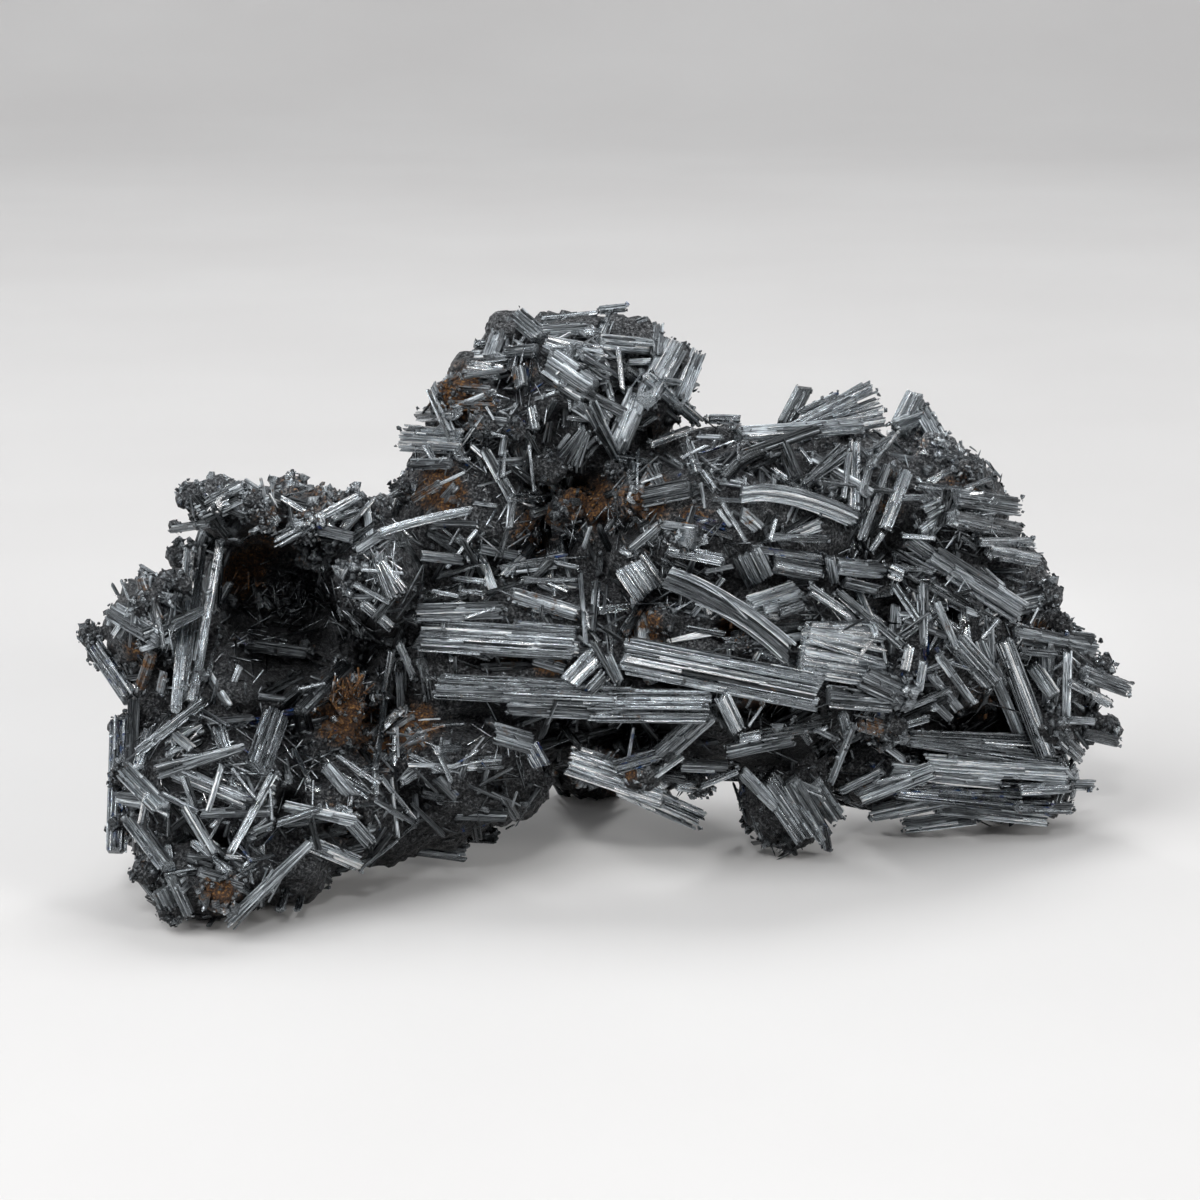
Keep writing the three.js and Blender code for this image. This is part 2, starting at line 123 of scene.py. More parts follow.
# The large crystals on the front, by form and look: across and up of both ends, width, and how far
# the axis stands proud of the mass.
FRONT = {
    ("bundle", "dull"): [
        (-49.2, -0.8, -44.2, -3.8, 2, 0.6), (-43, 7.2, -39, 7.8, 1, 0.6),
        (-24.5, 4.8, -21.5, 6.8, 1, 0.8), (-28.5, 7.2, -24.5, 6.2, 1.2, 0.8),
        (-47.8, -16.5, -44, -20.5, 2.2, 0.6), (-41.5, -20.5, -38.5, -25.5, 1.2, 1),
        (-27.5, -16.5, -25, -19.5, 1.4, 0.8), (-43.8, -29, -42, -32.5, 2, 0.4),
        (-40, -27, -35.5, -28.5, 1.2, 0.6), (-8.8, 28.8, -6.2, 26.6, 2, 1.2),
        (-19.3, 13.5, -15, 13.6, 1.2, 0.5), (-5.5, 24, -1, 21, 3.2, 0.9),
        (-9.6, 24.6, -6.6, 24.9, 1.4, 1), (-6, 26.9, -1, 27.3, 1.3, 0.6),
        (5.7, 24.6, 5.8, 27.7, 1.3, 0.7), (-12.5, 18, -9, 17.6, 1, 0.9),
        (-2.5, 19.5, 0.5, 17.5, 1.2, 0.6), (-11.5, 13.6, -7.5, 13.9, 0.9, 0.8),
        (6.5, 21.8, 9.9, 21.2, 1, 0.8), (34.5, 14.8, 38, 13.4, 1.2, 0.6), (24.5, 1.8, 28, 1, 1.2, 0.8),
        (3, 5, 6, 7.6, 0.9, 1.2), (6, 7.6, 10, 7, 0.9, 1.2), (4, 10.2, 9, 11.2, 2, 0.8),
        (32.5, 9.8, 36, 8.3, 1, 1), (41.5, -0.5, 45.8, 0.4, 2, 0.3),
        (-18.6, -1.2, -9.6, -0.9, 1.8, 0.8), (-2, 3, -1.4, -4.5, 0.5, 1.8), (-12, 5.2, -8, 4.4, 1, 0.8),
        (-18, 4.5, -13.5, 4, 1.1, 0.7), (-9.5, -10.7, 1, -11.1, 1.7, 1.1),
        (-10.5, -13.3, -6.3, -14.5, 2.1, 1), (12.4, -15.2, 19.5, -13.8, 1.5, 1.1),
        (19.2, -18.2, 22.6, -24, 1.8, 0.8), (21.8, -19, 24, -22.2, 1.8, 0.5),
        (26.5, -7.6, 31, -9.6, 2.6, 1.3), (23.8, -19.2, 28.4, -17, 0.9, 0.8),
        (25.8, -19.8, 33.5, -16.8, 1.8, 0.8), (26.8, -21.4, 35.5, -19.6, 1.8, 0.6),
        (30, -22.6, 38, -21.6, 1.5, 0.5), (38.1, -3.8, 42.6, -14.6, 1.2, 0.8),
        (33.4, -10.4, 35.2, -12.2, 0.9, 1.2), (41.8, -3.2, 50.2, -4.8, 1.9, 0.3),
        (47.5, -18.5, 49.7, -18.5, 1.1, 0.2), (43.2, -6.4, 45.4, -9.6, 1.6, 0.4),
    ],
    ("bundle", "blue"): [
        (-50.8, -4.2, -47, -9.8, 1.8, 0.6), (-47.9, -11.5, -48.3, -25.2, 2, 0.9),
        (19.6, 18.6, 24, 20.6, 0.9, 1), (15, 5.2, 22.5, 4.3, 0.9, 1.2),
        (-8.5, -2.6, -2.2, -3.2, 1.3, 0.9), (-7, -14.5, -5.7, -16.8, 1.8, 0.6),
        (1.2, -16.6, 6.2, -15.2, 1.6, 1.4), (22.2, -22.6, 22.7, -25.2, 1.1, 0.7),
    ],
    ("rod", "dull"): [
        (-46, -5, -43, -4, 0.6, 1.2),
    ],
    ("bundle", "brown"): [
        (-44.8, -5.5, -46, -9, 1.2, 0.6), (-45.9, 2.4, -44.2, -2, 1.3, 0.4),
        (-16.2, 21.4, -11, 21, 1.1, 0.6), (-15.5, 19.5, -10.5, 19.3, 1, 0.8),
        (-19, 9.8, -16, 11.7, 0.8, 0.8), (26, -12.2, 30, -13.4, 1.8, 0.6),
    ],
    ("bundle", "tan"): [
        (-43.5, -7, -44, -9.5, 0.8, 1), (-9, 0.6, -2, -1.5, 1.6, 1.2),
    ],
    ("rod", "grey"): [
        (-44.2, -1.8, -43.6, -4.8, 0.5, 1.5), (-9.5, 15, -9.7, 12.3, 0.4, 1.4),
        (12.2, 9.8, 14.6, 5.8, 0.5, 1.8),
    ],
    ("bundle", "bright"): [
        (-41, 5.4, -42.4, -11, 1.1, 2.4), (-37.9, 5.8, -40.9, -10.4, 0.9, 2.6),
        (-26, 2, -25, 0.5, 0.8, 1.2), (-23.6, -0.4, -20.8, -2.8, 1.1, 1.2),
        (-45, -12.5, -46.2, -16.5, 1.2, 0.8), (-32.4, -17, -37, -25.5, 0.8, 2.2),
        (-29.2, -24.3, -23.7, -26.6, 1.6, 1.2), (-20.4, 16.2, -14, 15.8, 2.6, 0.5),
        (-12.4, 25.6, -10.2, 25.8, 0.9, 0.6), (-12.8, 24.5, -10, 24.6, 1, 0.8),
        (-13.4, 23.3, -10.2, 22.8, 1.6, 0.8), (4.8, 22.6, 10.3, 17.6, 1.2, 1.6),
        (-9, 10.2, -4.4, 10.3, 0.9, 1), (5, 15.6, 9.5, 17.3, 0.8, 1), (14, 16.6, 26.5, 17.4, 1.6, 1.4),
        (21, 16.8, 28.8, 18.2, 1.6, 1.1), (25.5, 16.2, 25.4, 9, 1.2, 1.7),
        (30, 17, 26.5, 14.8, 0.5, 1.8), (30.8, 13.3, 28.4, 7.1, 1.4, 1.9),
        (29.8, 17.4, 31.6, 21, 1.8, 0.8), (3, 3.8, 5.2, 0.6, 3.6, 1.4), (6.5, 5.2, 12.5, 4, 1.4, 1.2),
        (21, 0.8, 25, -1.8, 0.6, 1.6), (38, 5.8, 43.4, 5.8, 1, 0.7), (39, 4.8, 44.3, 3.8, 1.5, 0.7),
        (-15, 2.2, -11.7, 1.8, 0.6, 1.2), (-17, 0.9, -14, 0.3, 0.5, 1.2),
        (2, -5.4, 22.2, -9.4, 3.8, 2.5), (-3.2, -8.2, -0.4, -5.4, 1.9, 1.8),
        (12.2, -9.6, 14, -13.2, 1.6, 1.5), (-3.2, -15.8, 6.8, -19.2, 3, 1.5),
        (2.2, -18.6, 10.4, -22.2, 2.2, 0.9), (8, -18.6, 9.9, -18.8, 1.3, 1.4),
        (9.9, -18.7, 13.9, -17, 0.7, 1.6), (13.9, -13.8, 16.2, -13.4, 1, 1.6),
        (20.4, -5.9, 28.8, -7.2, 3, 1.7), (41.9, -19, 47.3, -18.7, 1.2, 1.2),
        (31, -4.4, 30.4, -7.2, 1, 1.2), (32.4, -6, 31.8, -9.4, 0.9, 1.2),
        (47.1, -8.2, 51.3, -10.4, 1, 0.5), (46.2, -11.9, 49.6, -12.1, 0.8, 0.6),
    ],
    ("bundle", "grey"): [
        (-39.6, 5.8, -41.6, -9, 0.8, 2.4), (-38, 6, -38.4, -1, 0.9, 0.8),
        (-20.2, -4.2, -18.6, -7.8, 0.8, 1.2), (-20.8, -5, -21.5, -9.5, 0.7, 1.8),
        (-21.5, -9.5, -22.6, -17, 0.7, 1.7), (-46.5, -15.5, -39.5, -10, 1.1, 1),
        (-43, -17, -35.2, -20.3, 1.7, 1.2), (-47.2, -21.5, -43.5, -26.5, 1.8, 0.6),
        (-27.8, -20.8, -32.5, -22.4, 0.8, 1.9), (-32.5, -22.4, -35, -23.5, 0.7, 1.9),
        (-32, -10.8, -34, -16.5, 2.6, 1.3), (-30.5, -25.5, -27, -28.5, 1.4, 0.8),
        (-43, -27.5, -41, -31.8, 1.2, 0.7), (-31, -27.5, -32, -31, 0.8, 0.6),
        (-29.5, -28, -30.3, -31, 0.8, 0.6), (-26, -21, -22.8, -24.5, 1.4, 0.6),
        (-18.4, 18.8, -14.5, 19, 1.5, 0.5), (-6, 28, 0, 28.6, 1.1, 0.4), (1.3, 28.8, 0, 26, 1, 0.8),
        (2, 26.8, 4.9, 28, 1.1, 0.8), (2.8, 14.8, 3.1, 12.8, 0.8, 1.4), (-7, 19.5, -6.5, 17, 1, 1),
        (10.6, 18.1, 14.2, 18, 1, 0.4), (8.5, 16, 9.5, 12.8, 1.2, 0.8), (10, 13, 11.5, 11, 0.9, 0.8),
        (24.9, 15, 24.3, 10, 0.6, 1.5), (29.8, 17, 27, 13.5, 0.9, 1.5),
        (27, 13.5, 26.2, 10.5, 0.8, 1.6), (28.9, 14, 26.1, 5.9, 0.9, 1.5),
        (28.3, 6.8, 27, 4.8, 0.8, 1.4), (16.5, 6.3, 23, 6.1, 0.9, 1), (17.5, 3.8, 22.4, 2.9, 2, 1.2),
        (15, 4.8, 16.5, 1.8, 3.2, 1.2), (18.2, -1.3, 20.5, -0.5, 1, 2), (20.8, 1.6, 24.5, -1, 0.8, 1.4),
        (23.5, 1, 30.5, -5, 1, 1.6), (29.3, 1.8, 32, -2.2, 0.9, 1.2), (30.5, 6.3, 34, 3.9, 1.6, 1.7),
        (30.3, 10.2, 33.5, 10.3, 0.6, 1.2), (35.5, 8.3, 42.5, 6.8, 1.7, 0.7),
        (36, 10.5, 42.4, 9.5, 2, 0.5), (31.5, 11.5, 37, 10.8, 0.9, 0.8),
        (36.5, 11.2, 39.5, 12.3, 0.5, 0.6), (-18.4, -3.4, -2.4, -4.4, 3.2, 1), (-8, 1.9, -2, 2, 0.6, 1),
        (-14.5, 1, -11.5, 0.7, 0.5, 1.2), (-5.5, 4, -2, 3.2, 0.5, 1.2),
        (-22.5, 9.3, -19.8, 11, 0.7, 0.6), (-16.9, -8.6, 2, -9.5, 2.6, 1.2),
        (-1.4, -10.3, 11.2, -10.4, 3.5, 1.4), (-1.2, -9.2, 0.6, -7.2, 1.2, 1.8),
        (-0.8, -4, 1.7, -8.5, 0.5, 2.6), (24.3, -11.6, 24.8, -13.8, 1.2, 1.4),
        (16.7, -18, 20.9, -24, 2.6, 1), (19.6, -18.3, 22.4, -19.4, 0.8, 1.6),
        (23, -9.6, 29.6, -10.2, 2.2, 1.3), (28.2, -14.2, 30.7, -16, 0.8, 1.2),
        (33.5, -20.6, 45, -21.8, 1.8, 0.6), (42, -20.6, 47.5, -20.6, 1.5, 0.8),
        (40.3, -4, 44.8, -15.8, 1.9, 1), (35.6, -4.2, 39.5, -8.6, 2.4, 1.7),
        (33.2, -7.6, 36.2, -11.2, 0.9, 1.5), (30.6, -12.5, 33, -11.8, 0.8, 1.2),
        (42, -5, 46, -5.4, 0.8, 0.7), (48.6, -7.2, 53.2, -8.9, 1.8, 0.2),
        (45.5, -13, 48.4, -15.8, 1.6, 0.3),
    ],
    ("rod", "bright"): [
        (-38.8, 4, -40.6, -6, 0.4, 2.9), (-38, -2.8, -39.2, -7.5, 0.35, 2.2),
        (-30.2, -8.9, -27.5, -8.3, 0.25, 1.8), (-36.8, -16.8, -34.5, -19.8, 0.3, 2),
        (-33, -18.8, -32.8, -22, 0.3, 2.6), (8.1, 20.5, 9.3, 19.1, 0.3, 2),
        (3.8, 15, 3.7, 11, 0.3, 1.8), (-7.1, 15.5, -6.6, 10.8, 0.35, 1.4),
        (-10.9, 16.7, -9.5, 16.3, 0.35, 1.6), (-14.4, 14.1, -13, 14.1, 0.3, 1.6),
        (-5.8, 20.3, -4.5, 20.8, 0.3, 1.8), (20, 15.2, 21.2, 13.6, 0.4, 1.6),
        (13.8, 15.6, 13.8, 14, 0.3, 1.6), (14.5, 12.2, 14.4, 11, 0.4, 1.4),
        (17.6, 8.1, 17, 6, 0.4, 1.6), (30.2, 6.4, 33.5, 6.2, 0.5, 1.6),
        (38.2, -3.8, 39.9, -2, 0.4, 1.8), (-13.5, -1.8, -10.5, -0.8, 0.3, 1.8),
        (16.4, -10.4, 14.9, -12.6, 0.3, 1.6), (27.3, -18.3, 31, -17.4, 0.5, 1.4),
    ],
    ("plate", "blue"): [
        (-42.6, 2.5, -42.8, -0.5, 0.6, 1.4),
    ],
    ("fan", "bright"): [
        (-22, 4, -20, 0.5, 1.5, 1.4), (-5.8, 26.2, 0.2, 24.2, 2, 1.3), (20, 17, 28.3, 20, 2.9, 0.8),
        (20.8, -3, 28.6, -4.2, 3, 2),
    ],
    ("plate", "dark"): [
        (-25, -6, -30, -11, 1.5, 0.6), (-24, -27, -18.2, -22.3, 0.35, 1.4),
        (18.3, 17.3, 20.4, 21.3, 1.7, 0.2), (30.4, 2.7, 38, -1.5, 0.5, 0.8),
        (8, -16.4, 13.2, -16.6, 1.3, 0.8),
    ],
    ("bundle", "dark"): [
        (-46.6, -9.6, -47, -19, 1.3, 0.9), (17.8, 15.7, 19.3, 12, 1.6, 0.8), (22, 9, 26, 7.9, 1.2, 0.8),
        (33, 2, 39.5, -2, 0.6, 1.4), (-17, 7.8, -12.2, 7.6, 0.8, 0.8),
        (15.9, -13.5, 22.5, -12.4, 1.2, 0.8), (48.6, -13.4, 52.1, -14.2, 1.2, 0.2),
    ],
    ("plate", "grey"): [
        (-22, -17.5, -18.2, -22.3, 0.5, 1.2), (-22.5, -20, -18.3, -22.5, 0.5, 1.3),
        (-15.2, -1, -15.5, -3, 1, 1.6), (5.6, -15.9, 10.7, -11.4, 2.3, 1.5),
    ],
    ("plate", "dull"): [
        (-10.6, 24.6, -9.2, 28.6, 2.4, 1.3),
    ],
    ("plate", "tan"): [
        (-8.2, 23.5, -7.9, 21.5, 1.4, 0.8), (-5, 12.2, -4.2, 10.5, 1.2, 0.8),
        (14.2, 8.5, 16, 7, 1.6, 1), (17.2, -12.7, 18.4, -12.6, 0.6, 1.4),
    ],
    ("bundle", "pale"): [
        (0.2, 25.8, 5.7, 25.3, 1.7, 1.4), (-0.2, 29, 2.7, 29.3, 0.9, 0.4), (5, 20.6, 8, 26, 2.4, 1),
        (7.4, 20.2, 9.4, 25.2, 2.8, 0.7), (4.3, 22, 9.3, 17.8, 0.5, 2),
        (9.5, 16.4, 12.2, 16.3, 0.5, 1.2), (30.6, 16.6, 32.2, 20.2, 1.6, 0.8),
        (32.2, 19.4, 34.2, 16, 1.7, 0.8), (23, 4.2, 23.5, 1.5, 1, 1.4), (15, -0.4, 20, 1.2, 2, 1.8),
        (33.6, 0, 35.8, -5, 0.8, 1.5), (-7, -4.4, -2, -5, 1.6, 1.2), (0.8, -5.4, 2.1, -8.3, 0.8, 2.4),
        (21.5, -12.9, 23.8, -14, 0.5, 1.6), (14.2, -17, 18, -20.8, 1.3, 1),
        (32.5, -16.2, 47, -17.2, 2, 1), (29, -17, 40.5, -18.2, 1.7, 0.9),
        (33.8, -5.4, 37.4, -10.4, 0.9, 1.9), (46.8, -5, 46.6, -11.9, 0.9, 0.8),
    ],
    ("plate", "pale"): [
        (3.9, 21, 1.4, 14.8, 2.7, 1.4), (29.6, 17.6, 32.6, 18.6, 1.5, 1.4),
        (32, 17.8, 34, 14.5, 1.4, 1.1), (24, 3.6, 28.6, 3.1, 1.9, 1.6), (16.5, -0.9, 18, -0.5, 1, 2),
        (33, 4.6, 42.4, -1.4, 2.5, 1.8), (36.6, -1, 37.9, -1.5, 0.8, 1.6),
        (5.4, -17.6, 8.4, -15.4, 0.9, 1.8), (25.3, -12.4, 22.8, -18.6, 0.8, 2),
    ],
    ("rod", "tan"): [
        (-16, 11.6, -13.5, 12.8, 0.4, 1.2),
    ],
    ("fan", "grey"): [
        (-1.5, 17, -3.5, 13.5, 1.5, 1), (20.3, 11.6, 24.8, 15.2, 1.2, 1.2),
        (30.8, -13.9, 46.2, -15.4, 2.2, 0.9),
    ],
    ("rod", "pale"): [
        (-5.6, 12.5, -5.9, 11.5, 0.4, 1.4),
    ],
    ("plate", "bright"): [
        (28.8, 3.2, 30.5, 2.5, 1.6, 1.6),
    ],
    ("fan", "blue"): [
        (29.6, -19, 45.6, -19.8, 2, 0.8),
    ],
}

# Bent blades: across and up at the start, middle and end, width, proud height, look.
BENT = [
    (-22.3, 6.6, -18.0, 7.9, -12.5, 9.1, 0.9, 1.2, "bright"),
    (6.3, 2.6, 12.8, -0.6, 19.2, -5.4, 2.3, 2.4, "dull"),
    (14.0, 10.7, 19.0, 10.5, 25.8, 8.2, 1.9, 1.8, "pale"),
    (12.5, 12.3, 14.5, 14.2, 16.5, 15.0, 1.2, 1.0, "dark"),
]

# Hollows between the crystals: across, up, half width, half height, extra depth.
HOLLOWS = np.array([
    (-31.8, 1.6, 5.6, 6.4, 10.0), (-31.5, -5.5, 5.4, 4.4, 8.0), (-24.2, -4.6, 2.2, 3.6, 4.0),
    (2.0, 7.4, 2.6, 1.5, 4.0), (-9.0, 21.2, 1.6, 1.5, 3.0), (-3.5, 18.3, 1.6, 1.2, 3.0),
    (2.0, 21.4, 1.4, 1.2, 3.0), (7.0, 14.3, 1.6, 1.5, 3.0), (36.0, -12.2, 5.0, 1.8, 6.0),
    (5.5, -7.0, 3.8, 1.0, 4.0), (3.5, -13.6, 5.0, 1.5, 5.0), (17.5, -11.2, 4.2, 1.3, 5.0),
    (-10.0, -6.2, 4.0, 0.9, 3.0), (28.8, -1.2, 1.8, 1.8, 4.0), (21.0, -2.6, 1.2, 1.2, 3.0),
    (13.5, -3.2, 2.2, 1.3, 4.0), (-25.6, -22.2, 2.0, 1.5, 5.0), (-31.5, -20.4, 2.2, 1.6, 4.0),
    (-42.0, -17.5, 1.8, 1.5, 4.0), (-37.0, -24.0, 2.2, 1.3, 4.0), (-9.0, -17.5, 4.5, 2.5, 3.0),
    (-33.0, -13.0, 3.5, 2.0, 2.0), (-29.0, -17.5, 2.6, 1.6, 2.5), (-38.5, -14.0, 2.4, 1.5, 2.0),
    (-40.5, -23.5, 1.8, 1.6, 2.0), (-13.0, -12.5, 4.0, 1.6, 3.0), (-18.5, -19.5, 3.0, 1.8, 2.0),
    (34.5, -1.8, 1.4, 2.0, 3.0), (12.5, -16.8, 2.6, 1.2, 3.0), (18.5, -15.6, 2.6, 1.6, 2.5),
    (48.2, -10.2, 1.8, 1.6, 4.0), (16.0, 13.0, 1.6, 1.0, 2.5), (-3.6, -13.2, 2.4, 1.4, 4.0),
])

# Iron stain: across, up, radius, strength.
STAINS = np.array([
    (-35.5, 2.5, 2.6, 1.0), (-33.0, 6.0, 4.0, 0.5), (-25.5, -11.5, 2.8, 1.3),
    (-22.0, -13.5, 3.6, 0.7), (-18.5, -12.5, 2.6, 0.9), (-26.0, -22.0, 2.4, 0.6),
    (-38.0, -29.3, 2.2, 0.9), (-14.0, 20.3, 3.6, 0.8), (-16.0, 11.0, 3.0, 0.8),
    (-8.0, 23.0, 1.6, 0.6), (-1.0, 9.6, 3.4, 0.8), (4.5, 9.8, 3.0, 0.8), (9.5, 8.4, 2.4, 0.5),
    (-6.0, 7.0, 3.0, 0.8), (4.5, -2.9, 2.2, 0.9), (13.6, -2.6, 1.6, 1.4), (16.0, -9.6, 2.4, 0.8),
    (-9.0, -5.0, 1.6, 1.0), (-5.0, -6.6, 2.0, 0.7), (1.0, -17.3, 3.0, 0.8), (43.0, -3.6, 1.6, 1.2),
    (38.5, -10.5, 2.4, 0.6), (31.5, 15.5, 2.6, 0.25), (36.5, 11.2, 2.6, 0.5), (29.0, 9.5, 2.0, 0.6),
    (-46.0, -5.0, 2.0, 0.6), (-29.0, 10.5, 5.0, 0.4), (27.0, -13.0, 2.0, 0.5),
    (5.5, 17.5, 2.2, 0.4),
])

# Knobs of crust: across, up, radius, how many grains, how bright.
CRUSTS = [
    (-40.8, 10.6, 1.8, 60, 1.5), (-38.2, 11.0, 1.9, 60, 1.6), (-35.0, 10.0, 1.8, 60, 1.4),
    (-31.2, 11.0, 2.3, 80, 1.5), (-28.0, 9.8, 2.1, 60, 1.5), (-24.9, 9.6, 2.0, 60, 1.4),
    (-22.2, 9.2, 1.8, 50, 1.4), (-34.0, 8.0, 1.9, 60, 1.3), (-29.0, 7.6, 2.1, 60, 1.4),
    (-28.5, 4.8, 2.2, 100, 1.3), (-24.8, 2.6, 2.0, 80, 1.5), (-42.4, 7.2, 0.9, 20, 0.9),
    (-41.6, 4.6, 1.8, 50, 0.6), (-42.8, 1.2, 2.2, 70, 0.8), (-45.6, -0.4, 1.8, 60, 0.8),
    (-51.0, -3.4, 1.5, 60, 0.9), (-50.2, -5.9, 1.3, 40, 0.8), (-47.4, -12.5, 1.8, 50, 0.7),
    (-48.0, -17.5, 1.6, 50, 0.6), (-47.8, -22.5, 1.7, 50, 0.6), (-45.6, -27.2, 1.8, 60, 0.6),
    (-43.0, -31.0, 1.6, 50, 0.6), (-38.0, -29.2, 2.4, 90, 1.1), (-25.5, -11.5, 2.2, 80, 0.9),
    (-22.6, -9.5, 1.6, 50, 0.7), (-26.8, -14.0, 2.4, 60, 0.7), (-23.6, -14.2, 2.2, 60, 0.7),
    (-29.8, -13.4, 2.0, 50, 0.7), (-15.0, 20.0, 2.0, 60, 0.8), (-11.5, 17.5, 1.8, 60, 0.7),
    (-8.9, 17.0, 1.6, 60, 0.7), (-5.0, 13.4, 2.0, 70, 0.9), (1.4, 13.0, 1.4, 50, 0.8),
    (12.8, 16.9, 1.4, 30, 1.2), (3.2, 9.7, 2.2, 90, 0.8), (-3.0, 9.0, 2.6, 90, 0.7),
    (8.5, 6.0, 2.0, 80, 0.9), (31.2, 17.0, 2.4, 130, 3.2), (33.9, 15.2, 2.0, 80, 2.4),
    (36.6, 13.2, 1.7, 60, 1.2), (22.0, 10.3, 1.5, 60, 0.9), (11.5, 3.4, 1.4, 50, 0.9),
    (29.5, -8.5, 2.6, 120, 1.1), (28.5, -12.6, 2.6, 110, 0.9), (30.8, -6.6, 1.6, 60, 0.9),
    (-1.0, -16.8, 2.4, 100, 1.0), (4.2, -17.2, 2.2, 80, 1.0), (6.3, -2.0, 1.8, 60, 1.0),
    (14.3, -4.4, 1.2, 40, 0.8), (10.0, -18.6, 1.8, 60, 0.8), (44.6, 0.2, 2.0, 70, 0.8),
    (46.0, -2.4, 1.6, 60, 0.7), (45.0, -12.5, 2.4, 60, 0.8), (50.3, -6.6, 1.6, 40, 1.0),
    (50.8, -12.8, 1.6, 40, 0.9), (-20.0, 11.2, 1.4, 40, 0.7),
]

# Thickets of loose needles: across, up, radius, count, stain.
THICKETS = [
    (-33.0, -2.5, 4.5, 70, 0.0), (-30.0, 1.0, 3.5, 50, 0.0), (-24.5, -2.0, 2.5, 40, 0.0),
    (-25.4, -9.5, 2.2, 90, 1.0), (-23.5, -12.5, 3.0, 40, 0.5), (-29.0, -15.0, 5.0, 50, 0.1),
    (-36.0, -17.0, 4.5, 60, 0.0), (-43.5, -14.0, 3.0, 40, 0.0), (-22.5, 3.0, 4.0, 50, 0.0),
    (-7.0, 6.0, 5.0, 40, 0.2), (2.0, 8.0, 4.0, 30, 0.3), (-9.0, 20.0, 4.5, 40, 0.1),
    (-13.0, 15.0, 3.0, 40, 0.3), (3.0, -13.5, 5.0, 40, 0.0), (17.0, -12.0, 4.0, 40, 0.0),
    (28.5, -11.0, 4.0, 110, 0.0), (36.5, -12.5, 4.0, 50, 0.0), (23.0, -3.0, 4.0, 40, 0.0),
    (34.0, 2.0, 4.0, 40, 0.0), (44.0, -5.0, 3.5, 40, 0.0), (-10.0, -15.0, 4.0, 30, 0.0),
    (12.0, 14.0, 3.0, 30, 0.0), (-44.0, -3.0, 3.0, 30, 0.1), (5.0, 2.5, 4.0, 40, 0.0),
    (37.0, 8.0, 3.0, 40, 0.0),
]

# Swarms of laths: across, up, radius, count.
SWARMS = [
    (-41.0, -13.5, 4.0, 15), (-30.5, -15.5, 3.5, 10), (-37.5, -21.5, 4.5, 15),
    (-27.5, -22.5, 3.5, 10), (-44.5, -21.0, 2.5, 8), (-34.5, -26.5, 3.5, 8), (-22.5, -18.0, 3.0, 9),
    (-15.0, -16.0, 4.0, 13), (-10.5, -19.5, 3.0, 6), (-20.0, -12.5, 3.0, 10), (2.0, -14.0, 4.5, 14),
    (0.5, -0.5, 2.5, 10), (8.5, 0.5, 2.5, 8), (-9.0, 4.5, 3.5, 12), (-4.5, -12.5, 2.5, 8),
    (27.0, -2.5, 2.5, 8), (12.5, 13.0, 2.5, 8), (-38.5, 10.0, 2.4, 22), (-31.0, 10.0, 2.8, 30),
    (-25.0, 8.5, 2.4, 20), (-9.5, 25.5, 1.6, 12), (-1.0, 25.5, 3.0, 18), (-6.0, 2.5, 3.0, 12),
    (10.5, 1.5, 2.2, 8), (33.0, -1.0, 2.5, 8), (30.5, 4.0, 3.0, 10), (35.0, 9.5, 2.5, 8),
    (26.5, 8.0, 2.5, 6), (33.5, -8.0, 3.0, 6), (-4.0, 8.0, 3.0, 12), (6.0, 12.0, 2.5, 8),
    (18.0, 13.5, 2.5, 8), (24.5, 12.0, 2.5, 6), (-14.0, 5.0, 3.0, 8), (1.5, 17.5, 2.5, 8),
    (-28.0, 5.5, 2.0, 10), (-20.0, -22.5, 3.0, 8), (-22.5, 1.0, 3.0, 14), (-13.5, 19.0, 3.5, 14),
    (0.5, 22.5, 3.5, 12), (-8.5, 14.0, 3.5, 12), (36.0, 5.5, 3.0, 10), (42.0, -4.0, 3.0, 10),
    (-44.5, -2.0, 2.5, 8),
]

# Looks: colour scale, blue tarnish, stain, extra roughness. The bright look's higher colour scale is
# partly the crystals' brighter lustre and partly painted highlight where they glint.
LOOKS = {
    "grey": (1.0, 0.0, 0.0, 0.02),
    "bright": (1.95, 0.0, 0.0, -0.03),
    "pale": (1.6, 0.0, 0.05, 0.14),
    "dull": (1.05, 0.0, 0.05, 0.18),
    "dark": (0.42, 0.0, 0.0, 0.05),
    "blue": (0.9, 0.43, 0.0, 0.0),
    "tan": (1.3, 0.0, 0.3, 0.14),
    "brown": (0.6, 0.0, 0.5, 0.2),
}

# ---- Frame of the elevation -----------------------------------------------------------------


def place(points):
    """Elevation coordinates in millimetres to the part's frame in metres."""
    points = np.atleast_2d(points)
    spread = 1 - points[:, 2] / VIEW_DISTANCE
    rise = points[:, 1] * spread
    sine = math.sin(VIEW_TILT)
    cosine = math.cos(VIEW_TILT)
    return MM * np.column_stack([
        points[:, 0] * spread - ORIGIN[0],
        rise * sine - points[:, 2] * cosine - ORIGIN[1],
        VIEW_HEIGHT + rise * cosine + points[:, 2] * sine,
    ])


def lump_depths(points):
    """About how deep each point lies inside each lump, in millimetres: points by lumps."""
    offset = points[:, None, :] - SOLID[None, :, :3]
    radii = SOLID[None, :, 3:]
    ratio = np.linalg.norm(offset / radii, axis=2)
    reach = np.linalg.norm(offset, axis=2) / np.maximum(ratio, 1e-6)
    return (1 - ratio) * reach


